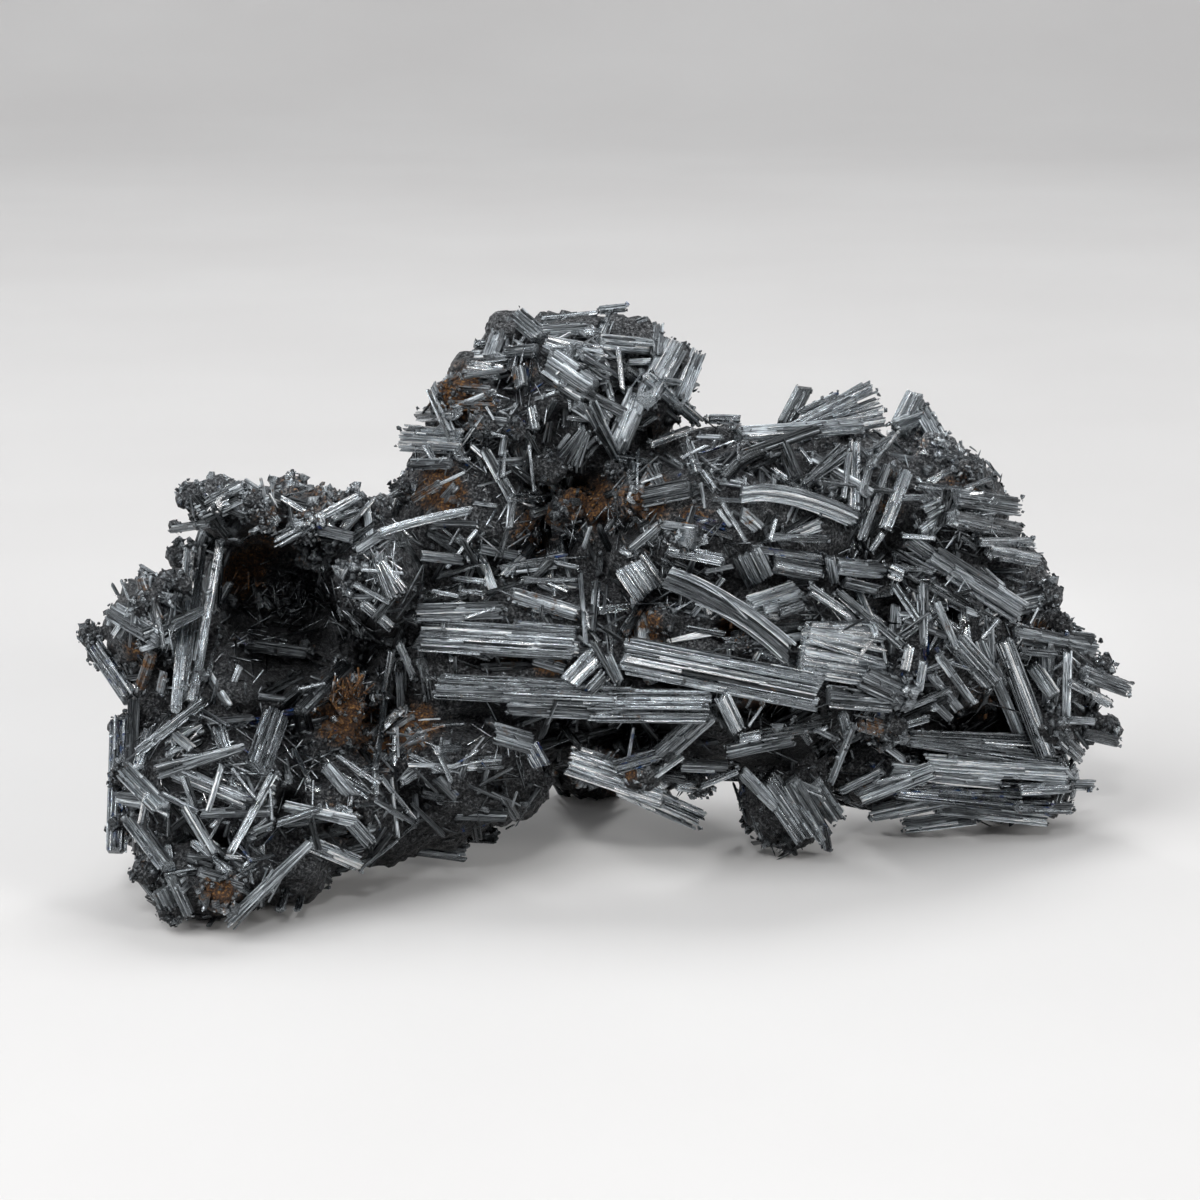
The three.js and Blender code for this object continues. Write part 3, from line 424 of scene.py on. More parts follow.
def front_of(across, up):
    """How near the front of the mass is at points of the elevation."""
    across = np.atleast_1d(across).astype(float)
    up = np.atleast_1d(up).astype(float)
    inside = (1 - ((across[:, None] - LUMPS[:, 0]) / LUMPS[:, 3]) ** 2
              - ((up[:, None] - LUMPS[:, 1]) / LUMPS[:, 4]) ** 2)
    surface = LUMPS[:, 2] + LUMPS[:, 5] * np.sqrt(np.maximum(inside, 0))
    nearest = np.where(inside > 0, surface, -1e9).max(axis=1)
    fallback = LUMPS[np.argmax(inside, axis=1), 2]
    return np.maximum(nearest, fallback)


def laid_flat(runs, normals, share):
    """Directions turned towards the surface by taking out a share of their outward part."""
    return normalised(runs - share * np.sum(runs * normals, axis=1, keepdims=True) * normals)


def front_normals(across, up):
    """Outward directions of the front of the mass at points of the elevation."""
    step = 0.4
    slope_across = (front_of(across + step, up) - front_of(across - step, up)) / (2 * step)
    slope_up = (front_of(across, up + step) - front_of(across, up - step)) / (2 * step)
    slopes = np.clip(np.column_stack([slope_across, slope_up]), -1.5, 1.5)
    return normalised(np.column_stack([-slopes, np.ones(len(slopes))]))


def thickness_of(across, up):
    """How thick the frontmost unbroken part of the mass is at points of the elevation."""
    inside = (1 - ((across[:, None] - LUMPS[:, 0]) / LUMPS[:, 3]) ** 2
              - ((up[:, None] - LUMPS[:, 1]) / LUMPS[:, 4]) ** 2)
    half = LUMPS[:, 5] * np.sqrt(np.maximum(inside, 0))
    fronts = np.where(inside > 0, LUMPS[:, 2] + half, -1e9)
    backs = np.where(inside > 0, LUMPS[:, 2] - half, 1e9)
    nearest = fronts.max(axis=1)
    bottom = np.take_along_axis(backs, np.argmax(fronts, axis=1)[:, None], axis=1)[:, 0]
    for _ in range(4):
        bottom = np.minimum(bottom, np.where(fronts > bottom[:, None] + 1, backs, 1e9).min(axis=1))
    return np.where(inside.max(axis=1) > 0, nearest - bottom, 0.0)


def within_outline(points, slack=0.02):
    """Whether points lie behind the outline that the mass shows from the front."""
    inside = (1 - ((points[:, None, 0] - LUMPS[:, 0]) / LUMPS[:, 3]) ** 2
              - ((points[:, None, 1] - LUMPS[:, 1]) / LUMPS[:, 4]) ** 2)
    return inside.max(axis=1) > -slack


def hollow_of(points):
    """Extra depth of the hollows at points of the elevation."""
    offset = (points[:, None, :2] - HOLLOWS[None, :, :2]) / HOLLOWS[None, :, 2:4]
    fall = np.clip(1.25 - np.sum(offset ** 2, axis=2), 0, 1)
    return (fall * HOLLOWS[:, 4]).max(axis=1)


def cut_depth(points):
    """How far the hollows cut into the front at points: never through the mass."""
    behind = front_of(points[:, 0], points[:, 1]) - points[:, 2]
    near_front = np.clip((CUT_REACH - behind) / CUT_FADE, 0, 1)
    deepest = np.maximum(0.5 * thickness_of(points[:, 0], points[:, 1]) - CUT_SPARE, 0)
    return np.minimum(hollow_of(points), deepest) * near_front


def painted_hollow_shade(points):
    """Painted shade: how much darker colours are made in the hollows, from 0.45 to 1."""
    return np.clip(1 - 0.06 * hollow_of(points), 0.45, 1)


def stain_of(points):
    """How iron-stained the front is at points of the elevation, from 0 to about 1."""
    offset = points[:, None, :2] - STAINS[None, :, :2]
    near = np.exp(-np.sum(offset ** 2, axis=2) / STAINS[None, :, 2] ** 2)
    return (near * STAINS[:, 3]).max(axis=1)


def wave(points, scale, phase):
    """A smooth repeatable ripple between about -1 and 1."""
    p = points / scale
    return (np.sin(p[:, 0] + 1.7 * np.sin(p[:, 1] + phase))
            * np.cos(p[:, 1] * 1.3 + 1.1 * np.sin(p[:, 2] * 1.2 + 2 * phase))
            + 0.5 * np.sin(p[:, 2] * 1.9 + p[:, 0] * 0.7 + 3 * phase)) / 1.5


# ---- Meshes ---------------------------------------------------------------------------------


class Pile:
    """Vertices, faces and two point attributes gathered for one joined mesh."""

    def __init__(self):
        self.points = []
        self.grain = []
        self.look = []
        self.faces = []
        self.count = 0

    def add(self, points, grain, look, faces):
        """points, grain: (v, 3); look: (v, 4); faces: a list of (f, n) index arrays."""
        for block in faces:
            self.faces.append(block + self.count)
        self.points.append(points)
        self.grain.append(grain)
        self.look.append(look)
        self.count += len(points)

    def build(self, name, material):
        points = place(np.concatenate(self.points))
        points[:, 2] = np.maximum(points[:, 2], 0.0)
        mesh = bpy.data.meshes.new(name)
        mesh.vertices.add(len(points))
        mesh.vertices.foreach_set("co", points.astype(np.float32).ravel())
        totals = np.concatenate([np.full(len(block), block.shape[1]) for block in self.faces])
        corners = np.concatenate([block.ravel() for block in self.faces]).astype(np.int32)
        starts = np.concatenate([[0], np.cumsum(totals)[:-1]]).astype(np.int32)
        mesh.loops.add(len(corners))
        mesh.loops.foreach_set("vertex_index", corners)
        mesh.polygons.add(len(totals))
        mesh.polygons.foreach_set("loop_start", starts)
        mesh.update(calc_edges=True)
        mesh.validate()
        give_attributes(mesh, np.concatenate(self.grain), np.concatenate(self.look))
        return add_object(name, mesh, material)


def give_attributes(mesh, grain, look):
    """Stores the striae coordinates and the look on a mesh's points."""
    vectors = mesh.attributes.new("grain", "FLOAT_VECTOR", "POINT")
    vectors.data.foreach_set("vector", grain.astype(np.float32).ravel())
    colours = mesh.attributes.new("look", "FLOAT_COLOR", "POINT")
    colours.data.foreach_set("color", look.astype(np.float32).ravel())


def add_object(name, mesh, material):
    mesh.materials.clear()
    mesh.materials.append(material)
    piece = bpy.data.objects.new(name, mesh)
    bpy.context.scene.collection.objects.link(piece)
    return piece


def normalised(vectors):
    return vectors / np.maximum(np.linalg.norm(vectors, axis=-1, keepdims=True), 1e-9)


# Sections, as shares of the half width and half thickness. A rib is one stria on a bundle's face;
# a lath stands alone, with bevelled edges and a shallow furrow along its front.
RIB = np.array([(1.0, -0.6), (0.45, 1.0), (-0.5, 0.85), (-1.0, -0.6)])
LATH = np.array([(1.0, 0.0), (0.72, 0.95), (0.1, 0.72), (-0.75, 0.9), (-1.0, -0.1), (0.0, -1.0)])
STRAIGHT = 2
CURVED = 8


def add_copies(pile, points, look, faces, grain):
    """Adds n copies of one layout of faces. points and grain: (n, v, 3), look: (n, 4)."""
    n, per = points.shape[:2]
    first = (np.arange(n) * per)[:, None, None]
    tone = np.repeat(look[:, None, :], per, axis=1)
    grain = grain + RNG.uniform(-SHIFT, SHIFT, (n, 1, 3))
    pile.add(points.reshape(-1, 3), grain.reshape(-1, 3), tone.reshape(-1, 4),
             [(block + first).reshape(-1, block.shape[1]) for block in faces])


def add_prisms(pile, table, sections, bends):
    """Adds n bevelled prisms. table: a row each of start, end, sag, facing (3 numbers each),
    width, thickness, look (4) and the sizes of the two end faces; sections: (n, sides, 2)."""
    start, end, sag = table[:, 0:3], table[:, 3:6], table[:, 6:9]
    facing = normalised(table[:, 9:12])
    width, thick, look, tips = table[:, 12], table[:, 13], table[:, 14:18], table[:, 18:20]
    n, sides = sections.shape[:2]
    rings = bends + 2
    axis = normalised(end - start)
    length = np.maximum(np.linalg.norm(end - start, axis=1), 1e-6)
    side = normalised(np.cross(facing, axis))
    front = np.cross(axis, side)

    bevel = np.minimum(0.3, 0.4 * width / length)
    along = np.zeros((n, rings))
    along[:, 1:-1] = bevel[:, None] + (1 - 2 * bevel)[:, None] * np.linspace(0, 1, bends)[None, :]
    along[:, -1] = 1
    size = np.ones((n, rings))
    size[:, 0] = tips[:, 0]
    size[:, -1] = tips[:, 1]

    u = sections[:, None, :, 0] * size[:, :, None] * (width / 2)[:, None, None]
    v = sections[:, None, :, 1] * size[:, :, None] * (thick / 2)[:, None, None]
    s = np.repeat(along[:, :, None], sides, axis=2)
    slant = RNG.normal(0, 0.3, (n, 2, 2))
    for k, ring in ((0, 0), (0, 1), (1, -2), (1, -1)):
        tilt = slant[:, k, 0, None] * u[:, ring, :] + slant[:, k, 1, None] * v[:, ring, :]
        s[:, ring, :] += tilt / length[:, None]

    bow = (4 * s * (1 - s))[..., None] * sag[:, None, None, :]
    points = (start[:, None, None, :] + bow
              + s[..., None] * (end - start)[:, None, None, :]
              + u[..., None] * side[:, None, None, :]
              + v[..., None] * front[:, None, None, :])
    grain = np.stack([u, v, s * length[:, None, None]], axis=-1)
    index = np.arange(rings * sides).reshape(rings, sides)
    after = np.roll(index, -1, axis=1)
    walls = np.stack([index[:-1], after[:-1], after[1:], index[1:]], axis=-1).reshape(-1, 4)
    add_copies(pile, points.reshape(n, -1, 3), look, [walls, index[:1, ::-1], index[-1:]],
               grain.reshape(n, -1, 3))


class Prisms:
    """Prisms gathered one by one, by their number of sides and bends, then added together."""

    def __init__(self):
        self.groups = {}

    def add(self, section, start, end, facing, width, thick, look, tips=(0.9, 0.9), sag=(0, 0, 0)):
        bends = CURVED if np.any(sag) else STRAIGHT
        rows, sections = self.groups.setdefault((len(section), bends), ([], []))
        rows.append((*start, *end, *sag, *facing, width, thick, *look, *tips))
        sections.append(section)

    def into(self, pile):
        for (_, bends), (rows, sections) in self.groups.items():
            shapes = np.array(sections)
            shapes = shapes + RNG.normal(0, 0.07, shapes.shape)
            add_prisms(pile, np.array(rows), shapes, bends)


def add_needles(pile, start, end, width, look, sides=3):
    """Adds n sharp needles."""
    axis = normalised(end - start)
    helper = np.where(np.abs(axis[:, 2:3]) < 0.8, np.array([[0, 0, 1.0]]), np.array([[1.0, 0, 0]]))
    side = normalised(np.cross(helper, axis))
    front = np.cross(axis, side)
    turn = 2 * math.pi * np.arange(sides) / sides
    ring = (np.cos(turn)[None, :, None] * side[:, None, :]
            + 0.6 * np.sin(turn)[None, :, None] * front[:, None, :]) * (width / 2)[:, None, None]
    low = start[:, None, :] + ring
    high = end[:, None, :] - 2 * width[:, None, None] * axis[:, None, :] + 0.8 * ring
    ends = np.stack([start - 0.3 * width[:, None] * axis, end], axis=1)
    points = np.concatenate([low, high, ends], axis=1)
    corner = np.arange(sides)
    after = (corner + 1) % sides
    walls = np.column_stack([corner, after, after + sides, corner + sides])
    base = np.column_stack([after, corner, np.full(sides, 2 * sides)])
    tip = np.column_stack([corner + sides, after + sides, np.full(sides, 2 * sides + 1)])
    shares = np.array([0.0] * sides + [1.0] * sides + [0.0, 1.0])
    grain = np.zeros(points.shape)
    grain[:, :, 2] = shares[None, :] * np.linalg.norm(end - start, axis=1)[:, None]
    add_copies(pile, points, look, [walls, np.concatenate([base, tip])], grain)


def random_turns(count):
    """Random rotation matrices, (count, 3, 3)."""
    w, x, y, z = normalised(RNG.normal(0, 1, (count, 4))).T
    return np.stack([
        np.stack([1 - 2 * (y * y + z * z), 2 * (x * y - w * z), 2 * (x * z + w * y)], axis=-1),
        np.stack([2 * (x * y + w * z), 1 - 2 * (x * x + z * z), 2 * (y * z - w * x)], axis=-1),
        np.stack([2 * (x * z - w * y), 2 * (y * z + w * x), 1 - 2 * (x * x + y * y)], axis=-1),
    ], axis=1)


GRAIN_POINTS = np.array([(1, 0.2, -0.6), (-0.2, 1, -0.6), (-1, -0.2, -0.6), (0.2, -1, -0.6),
                         (0.5, 0.4, 0.8), (-0.4, 0.5, 0.8), (-0.5, -0.4, 0.8), (0.4, -0.5, 0.8)])
GRAIN_FACES = np.array([(0, 1, 5, 4), (1, 2, 6, 5), (2, 3, 7, 6), (3, 0, 4, 7), (4, 5, 6, 7),
                        (3, 2, 1, 0)])


def add_grains(pile, centres, radii, look):
    """Adds n small stubby grains, each a randomly squashed and turned block."""
    n = len(centres)
    shape = (GRAIN_POINTS[None] * RNG.uniform(0.3, 1.5, (n, 1, 3))
             + RNG.normal(0, 0.15, (n, len(GRAIN_POINTS), 3)))
    turned = np.einsum("nij,nkj->nki", random_turns(n), shape)
    points = centres[:, None, :] + turned * radii[:, None, None]
    add_copies(pile, points, look, [GRAIN_FACES], shape * radii[:, None, None])


# ---- Surface samples ------------------------------------------------------------------------


def surface_points(count, inset):
    """Points about `inset` mm under the surface of the mass, and its outward directions."""
    area = SOLID[:, 3] * SOLID[:, 4] + SOLID[:, 3] * SOLID[:, 5] + SOLID[:, 4] * SOLID[:, 5]
    found_points = []
    found_normals = []
    total = 0
    while total < count:
        pick = RNG.choice(len(SOLID), size=4 * count, p=area / area.sum())
        ray = normalised(RNG.normal(0, 1, (len(pick), 3)))
        radii = SOLID[pick, 3:]
        outer = SOLID[pick, :3] + ray * radii
        normal = normalised(ray / radii)
        depth = lump_depths(outer)
        depth[np.arange(len(pick)), pick] = -1
        open_air = depth.max(axis=1) < SEAM
        spot = outer - normal * (inset * RNG.uniform(0.3, 1.0, len(pick)))[:, None]
        above = place(spot)[:, 2] > CLEARANCE * MM
        keep = open_air & above
        found_points.append(spot[keep])
        found_normals.append(normal[keep])
        total += int(keep.sum())
    return np.concatenate(found_points)[:count], np.concatenate(found_normals)[:count]


ALL_ROWS = [(*row, form, look) for (form, look), rows in FRONT.items() for row in rows]
ROW_MIDDLES = np.array([((r[0] + r[2]) / 2, (r[1] + r[3]) / 2) for r in ALL_ROWS])
ROW_RUNS = normalised(np.array([(r[2] - r[0], r[3] - r[1]) for r in ALL_ROWS]))


def run_directions(points, normals, scatter):
    """Directions for small crystals: with the nearest large crystal on the front, and in drifting
    sheaves elsewhere."""
    n = len(points)
    gap = np.linalg.norm(points[:, None, :2] - ROW_MIDDLES[None], axis=2)
    nearest = np.argmin(gap + RNG.uniform(0, 2.5, gap.shape), axis=1)
    front_run = np.column_stack([ROW_RUNS[nearest], np.zeros(n)])
    drift = math.pi * wave(points, 9.0, 0.7) + math.pi * wave(points, 23.0, 2.1)
    helper = np.where(np.abs(normals[:, 1:2]) < 0.8, np.array([[0, 1.0, 0]]), np.array([[1.0, 0, 0]]))
    u = normalised(np.cross(helper, normals))
    v = np.cross(normals, u)
    back_run = np.cos(drift)[:, None] * u + np.sin(drift)[:, None] * v
    on_front = (normals[:, 2] > 0.25)[:, None]
    run = np.where(on_front, front_run, back_run)
    run = run + RNG.normal(0, 1, (n, 3)) * scatter[:, None]
    return laid_flat(run, normals, 0.8)


# ---- The crystals ---------------------------------------------------------------------------


def varied(look, spread):
    """A look with a small random change in its brightness, stain and roughness."""
    scale, blue, stain, rough = look
    return (scale * math.exp(RNG.normal(0, spread)), blue,
            max(0.0, stain + RNG.normal(0, 0.03)), rough + RNG.normal(0, 0.05))


def sheaf(prisms, start, end, facing, width, look, rib=RIB_WIDTH, opening=1.0, sag=(0, 0, 0)):
    """A striated crystal: a two-faced prism under a skin of ribs whose ends are stepped.
    `opening` above 1 makes a fan of loose ribs that spread towards the end."""
    start = np.array(start, float)
    end = np.array(end, float)
    length = np.linalg.norm(end - start)
    axis = (end - start) / length
    side = normalised(np.cross(facing, axis))
    front = np.cross(axis, side)
    shade = varied(look, 0.12)
    ridge = RNG.uniform(-0.28, 0.28)
    drops = RNG.uniform(0.1, 0.4, 2) * width
    count = max(1, int(round(width / rib)))
    if count == 1:
        prisms.add(LATH, start, end, facing, width, 0.6 * width, shade, RNG.uniform(0.5, 1, 2), sag)
        return
    fan = opening > 1
    for layer in range(2 if fan else 1):
        for k in range(count):
            spot = (k + 0.5 + RNG.normal(0, 0.15)) / count - 0.5
            if spot < ridge:
                slope = drops[0] / ((ridge + 0.5) * width)
            else:
                slope = -drops[1] / ((0.5 - ridge) * width)
            deep = -abs(slope * (spot - ridge)) * width - layer * 0.35 * width + RNG.normal(0, 0.07)
            broad = width / count * RNG.uniform(0.8, 1.5)
            step = np.abs(RNG.normal(0, 0.03, 2)) * length + RNG.uniform(0, 0.25, 2)
            if RNG.random() < 0.14:
                step[RNG.integers(2)] += RNG.uniform(0.1, 0.45) * length
            step = np.minimum(step, 0.45 * length)
            loose = RNG.normal(0, 0.05, 2) * width if fan else (0, 0)
            low = start + axis * step[0] + side * spot * width * (0.7 if fan else 1) + front * deep
            high = (end - axis * step[1] + side * (spot * width * opening + loose[0])
                    + front * (deep + loose[1]))
            tilt = facing - side * slope + side * RNG.normal(0, 0.15)
            thick = max(0.7 * broad, 0.16 * width)
            cut = RNG.uniform(0.2, 0.8) if length > LONG_CRYSTAL and not np.any(sag) else 1.0
            middle = low + (high - low) * cut
            prisms.add(RIB, low, middle, tilt, broad, thick, varied(shade, 0.6),
                       RNG.uniform(0.6, 1, 2), sag)
            if cut < 1:
                shift = front * RNG.normal(0, 0.07) + side * RNG.normal(0, 0.05)
                prisms.add(RIB, middle + shift, high + shift, tilt, broad, thick,
                           varied(shade, 0.6), RNG.uniform(0.6, 1, 2))
    deep = 0.5 * width
    body = width * (0.75 if fan else 1)
    inner = np.array([(0.94, -drops[1] / deep), (2 * ridge, -0.04), (-0.94, -drops[0] / deep),
                      (-0.7, -1.3), (0.7, -1.3)])
    trim = min(0.5, 0.06 * length)
    prisms.add(inner, start + axis * trim, end - axis * (trim + (0.25 * length if fan else 0)),
               facing, body, 2 * deep, varied(shade, 0.1), (0.95, 0.95), sag)


def row_points(row):
    """The two ends of a crystal on the front, lifted where the mass between would swallow it."""
    ends = np.array([row[0], row[2]]), np.array([row[1], row[3]])
    near = front_of(*ends) + row[5]
    start = np.array([row[0], row[1], near[0]])
    end = np.array([row[2], row[3], near[1]])
    middle = (start + end) / 2
    bulge = front_of(middle[0], middle[1])[0] + 0.3 * row[4] - middle[2]
    if bulge > 0:
        start[2] += bulge * 0.8
        end[2] += bulge * 0.8
    return start, end


def front_crystals():
    prisms = Prisms()
    for row in ALL_ROWS:
        start, end = row_points(row)
        width, form, look = row[4], row[6], LOOKS[row[7]]
        facing = np.array([RNG.normal(0, 0.15), 0.1 + RNG.normal(0, 0.15), 1.0])
        if form == "fan":
            sheaf(prisms, start, end, facing, width, look, opening=1.7)
        elif form == "plate":
            sheaf(prisms, start, end, facing, width, look, rib=max(0.28 * width, RIB_WIDTH))
        elif form == "rod":
            prisms.add(LATH, start, end, facing, width, width * 0.7, varied(look, 0.1), (0.6, 0.9))
        else:
            sheaf(prisms, start, end, facing, width, look)
    for a0, b0, a1, b1, a2, b2, width, lift, look in BENT:
        near = front_of(np.array([a0, a1, a2]), np.array([b0, b1, b2])) + lift
        start = np.array([a0, b0, near[0]])
        end = np.array([a2, b2, near[2]])
        sag = np.array([a1, b1, max(near[1], (near[0] + near[2]) / 2)]) - (start + end) / 2
        sheaf(prisms, start, end, np.array([0, 0.1, 1.0]), width, LOOKS[look], sag=sag)
    add_swarms(prisms)
    return prisms


def add_swarms(prisms):
    """Laths and small bundles that lie at all angles on the front, where no one crystal leads."""
    for across, up, radius, count in SWARMS:
        spots = strewn(across, up, 0.55 * radius, count)
        spots[:, 2] -= 0.8 * cut_depth(spots) - RNG.uniform(-0.3, 1.0, count)
        normals = front_normals(spots[:, 0], spots[:, 1])
        runs = laid_flat(RNG.normal(0, 1, (count, 3)), normals, 0.85)
        lengths = np.exp(RNG.normal(1.28, 0.45, count))
        widths = np.clip(lengths * RNG.uniform(0.05, 0.24, count), 0.22, 1.2)
        looks = random_looks(spots, normals)
        looks[:, 0] *= np.exp(RNG.normal(0.12, 0.35, count))
        looks[:, 3] += RNG.uniform(-0.05, 0.15, count)
        reach = runs * lengths[:, None] / 2
        inside = within_outline(spots - reach) & within_outline(spots + reach)
        for spot, normal, run, length, width, look, kept in zip(
                spots, normals, runs, lengths, widths, looks, inside):
            facing = normal + RNG.normal(0, 0.35, 3)
            if not kept:
                continue
            sheaf(prisms, spot - run * length / 2, spot + run * length / 2, facing, width, look,
                  rib=0.26, opening=RNG.choice([1.0, 1.0, 1.4]))


def random_looks(points, normals=None):
    """Mixed looks for small crystals, more stained where the iron is; painted shade underneath and in
    hollows.
    """
    count = len(points)
    # The random tone, with painted shade in the hollows and on surfaces that face down.
    scale = np.exp(RNG.normal(-0.23, 0.55, count)) * painted_hollow_shade(points)
    if normals is not None:
        scale *= np.clip(0.95 + 0.9 * normals[:, 1], 0.3, 1)
    blue = np.where(RNG.random(count) < 0.04, RNG.uniform(0.35, 0.55, count), 0.0)
    stain = 0.8 * np.clip(stain_of(points) * RNG.uniform(0.0, 1.1, count), 0, 1)
    behind = 0.3 * np.clip(wave(points, 6.0, 1.3), 0, 1)
    stain = np.where(points[:, 2] < FAR_SIDE, behind, stain)
    rough = RNG.normal(0.02, 0.08, count)
    return np.column_stack([scale, blue, stain, rough])


def strewn(across, up, spread, count):
    """Spots on the front scattered about one place."""
    spots = np.array([across, up]) + RNG.normal(0, spread, (count, 2))
    return np.column_stack([spots, front_of(spots[:, 0], spots[:, 1])])


def sink(points, normals):
    """Small things on the front follow the hollows."""
    deep = cut_depth(points) * (normals[:, 2] > 0.2)
    return points - normals * deep[:, None] * 0.9


def small_crystals():
    """Small sheaves between the large crystals, all over the mass: front ones and rear ones."""
    points, normals = surface_points(SMALL_CRYSTALS, 2.4)
    kept = (hollow_of(points) * (normals[:, 2] > 0.2) < 2) | (RNG.random(len(points)) < 0.3)
    kept &= (normals[:, 2] > FACES_FRONT) | (RNG.random(len(points)) < REAR_SHARE)
    points, normals = points[kept], normals[kept]
    count = len(points)
    runs = run_directions(points, normals, RNG.uniform(0.25, 1.2, count))
    points = sink(points, normals)
    looks = random_looks(points, normals)
    lengths = np.exp(RNG.normal(1.15, 0.42, count))
    widths = np.clip(lengths * RNG.uniform(0.08, 0.29, count), 0.22, 1.6)
    reach = runs * lengths[:, None] / 2
    slack = np.where(widths > 0.5, 0.25, 0.02)
    kept = within_outline(points - reach, slack) & within_outline(points + reach, slack)
    front = Prisms()
    rear = Prisms()
    for point, normal, run, look, length, width in zip(
            points[kept], normals[kept], runs[kept], looks[kept], lengths[kept], widths[kept]):
        prisms = front if normal[2] > FACES_FRONT else rear
        sheaf(prisms, point - run * length / 2, point + run * length / 2, normal, width, look,
              rib=0.4, opening=RNG.choice([1.0, 1.0, 1.5]))
    return front, rear


def back_crystals():
    """Large crystals on the sides, the top and the back, like those on the front."""
    points, normals = surface_points(BACK_CRYSTALS * 4, 0.6)
    behind = normals[:, 2] < FACES_FRONT
    points, normals = points[behind], normals[behind]
    runs = run_directions(points, normals, RNG.uniform(0.1, 0.45, len(points)))
    lengths = np.exp(RNG.normal(2.0, 0.4, len(points)))
    widths = np.minimum(3.4, lengths * RNG.uniform(0.14, 0.3, len(points)))
    middles = points + normals * 0.3 * widths[:, None]
    starts = middles - runs * lengths[:, None] / 2
    ends = middles + runs * lengths[:, None] / 2
    clear = np.minimum(place(starts)[:, 2], place(ends)[:, 2]) > 0.5 * widths * MM
    hidden = within_outline(starts) & within_outline(ends)
    for tips in (starts, ends):
        hidden &= tips[:, 2] < front_of(tips[:, 0], tips[:, 1]) - 2
    chosen = np.flatnonzero(clear & hidden)[:BACK_CRYSTALS]
    looks = random_looks(points, normals)
    prisms = Prisms()
    for k in chosen:
        sheaf(prisms, starts[k], ends[k], normals[k], widths[k], looks[k], rib=0.36,
              opening=RNG.choice([1.0, 1.4]))
    return prisms


def needle_crystals(pile):
    points, normals = surface_points(NEEDLES, 2.2)
    runs = run_directions(points, normals, RNG.uniform(0.6, 2.0, NEEDLES))
    points = sink(points, normals)
    runs = normalised(runs + normals * RNG.uniform(0.0, 0.6, (NEEDLES, 1)))
    lengths = np.exp(RNG.normal(0.6, 0.4, NEEDLES))[:, None]
    looks = random_looks(points, normals)
    looks[:, 0] *= 1.2
    width = RNG.uniform(0.1, 0.26, NEEDLES)
    roots = points - runs * lengths * 0.4
    tips = points + runs * lengths * 0.6
    kept = within_outline(tips)
    add_needles(pile, roots[kept], tips[kept], width[kept], looks[kept])
    for across, up, radius, count, stain in THICKETS:
        spots = strewn(across, up, 0.5 * radius, count)
        spots[:, 2] -= cut_depth(spots) + RNG.uniform(-0.5, 2.0, count)
        normals = front_normals(spots[:, 0], spots[:, 1])
        runs = laid_flat(RNG.normal(0, 1, (count, 3)), normals, 0.75)
        lengths = np.exp(RNG.normal(1.0 - 0.5 * stain, 0.35, count))[:, None]
        looks = random_looks(spots, normals)
        looks[:, 0] *= 1.3
        looks[:, 2] = np.maximum(looks[:, 2], stain * RNG.uniform(0.4, 1.0, count))
        add_needles(pile, spots - runs * lengths / 2, spots + runs * lengths / 2,
                    RNG.uniform(0.12, 0.34, count), looks)


def crust_grains(pile):
    """Grains strewn over the whole mass, and heaped in crusts."""
    points, normals = surface_points(GRAINS, 2.0)
    points = sink(points, normals)
    looks = random_looks(points, normals)
    looks[:, 0] *= 0.9
    looks[:, 2] = np.clip(looks[:, 2] + RNG.uniform(-0.2, 0.3, GRAINS), 0, 1)
    looks[:, 3] += 0.1
    add_grains(pile, points, np.exp(RNG.normal(-1.45, 0.4, GRAINS)), looks)
    for across, up, radius, count, tone in CRUSTS:
        ray = normalised(RNG.normal(0, 1, (count, 3)))
        ray[:, 2] = np.abs(ray[:, 2])
        centres = crust_centre(across, up) + ray * radius * RNG.uniform(0.65, 0.95, (count, 1))
        looks = random_looks(centres)
        looks[:, 0] *= tone
        looks[:, 2] = np.clip(looks[:, 2] + RNG.uniform(-0.1, 0.2, count), 0, 1)
        looks[:, 3] += 0.08
        add_grains(pile, centres, radius * np.exp(RNG.normal(-2.1, 0.4, count)), looks)


def grit_on_crystals(pile):
    """Tiny grains and stubs along the edges and ends of the crystals on the front."""
    centres = []
    for row in ALL_ROWS:
        start, end = row_points(row)
        count = int(4 + 1.6 * np.linalg.norm(end - start))
        share = np.where(RNG.random(count) < 0.4, RNG.choice([0.02, 0.98], count),
                         RNG.uniform(0, 1, count))
        side = normalised(np.cross(np.array([0, 0.1, 1.0]), end - start))
        across = RNG.choice([-0.5, 0.5], count) * RNG.uniform(0.4, 0.9, count) * row[4]
        spots = start + share[:, None] * (end - start) + across[:, None] * side
        spots[:, 2] -= RNG.uniform(0.1, 0.5, count) * row[4]
        centres.append(spots)
    centres = np.concatenate(centres)
    looks = random_looks(centres)
    looks[:, 2] *= 0.8
    add_grains(pile, centres, np.exp(RNG.normal(-1.75, 0.35, len(centres))), looks)


def crust_centre(across, up):
    return np.array([across, up, front_of(across, up)[0] - 0.4])


# ---- The core -------------------------------------------------------------------------------


def crust_texture(name, grain_size):
    texture = bpy.data.textures.new(name, "VORONOI")
    texture.noise_scale = grain_size
    return texture


def knob_tone(points):
    """How bright the crust is: brighter on the pale knobs, 1 elsewhere."""
    knobs = np.array([(across, up, radius, max(tone, 1.0)) for across, up, radius, _, tone in CRUSTS])
    gap = np.sum((points[:, None, :2] - knobs[:, :2]) ** 2, axis=2)
    glow = np.exp(-gap / knobs[:, 2] ** 2) * (knobs[:, 3] - 1)
    return 1 + glow.max(axis=1) * (points[:, 2] > KNOBS_END)


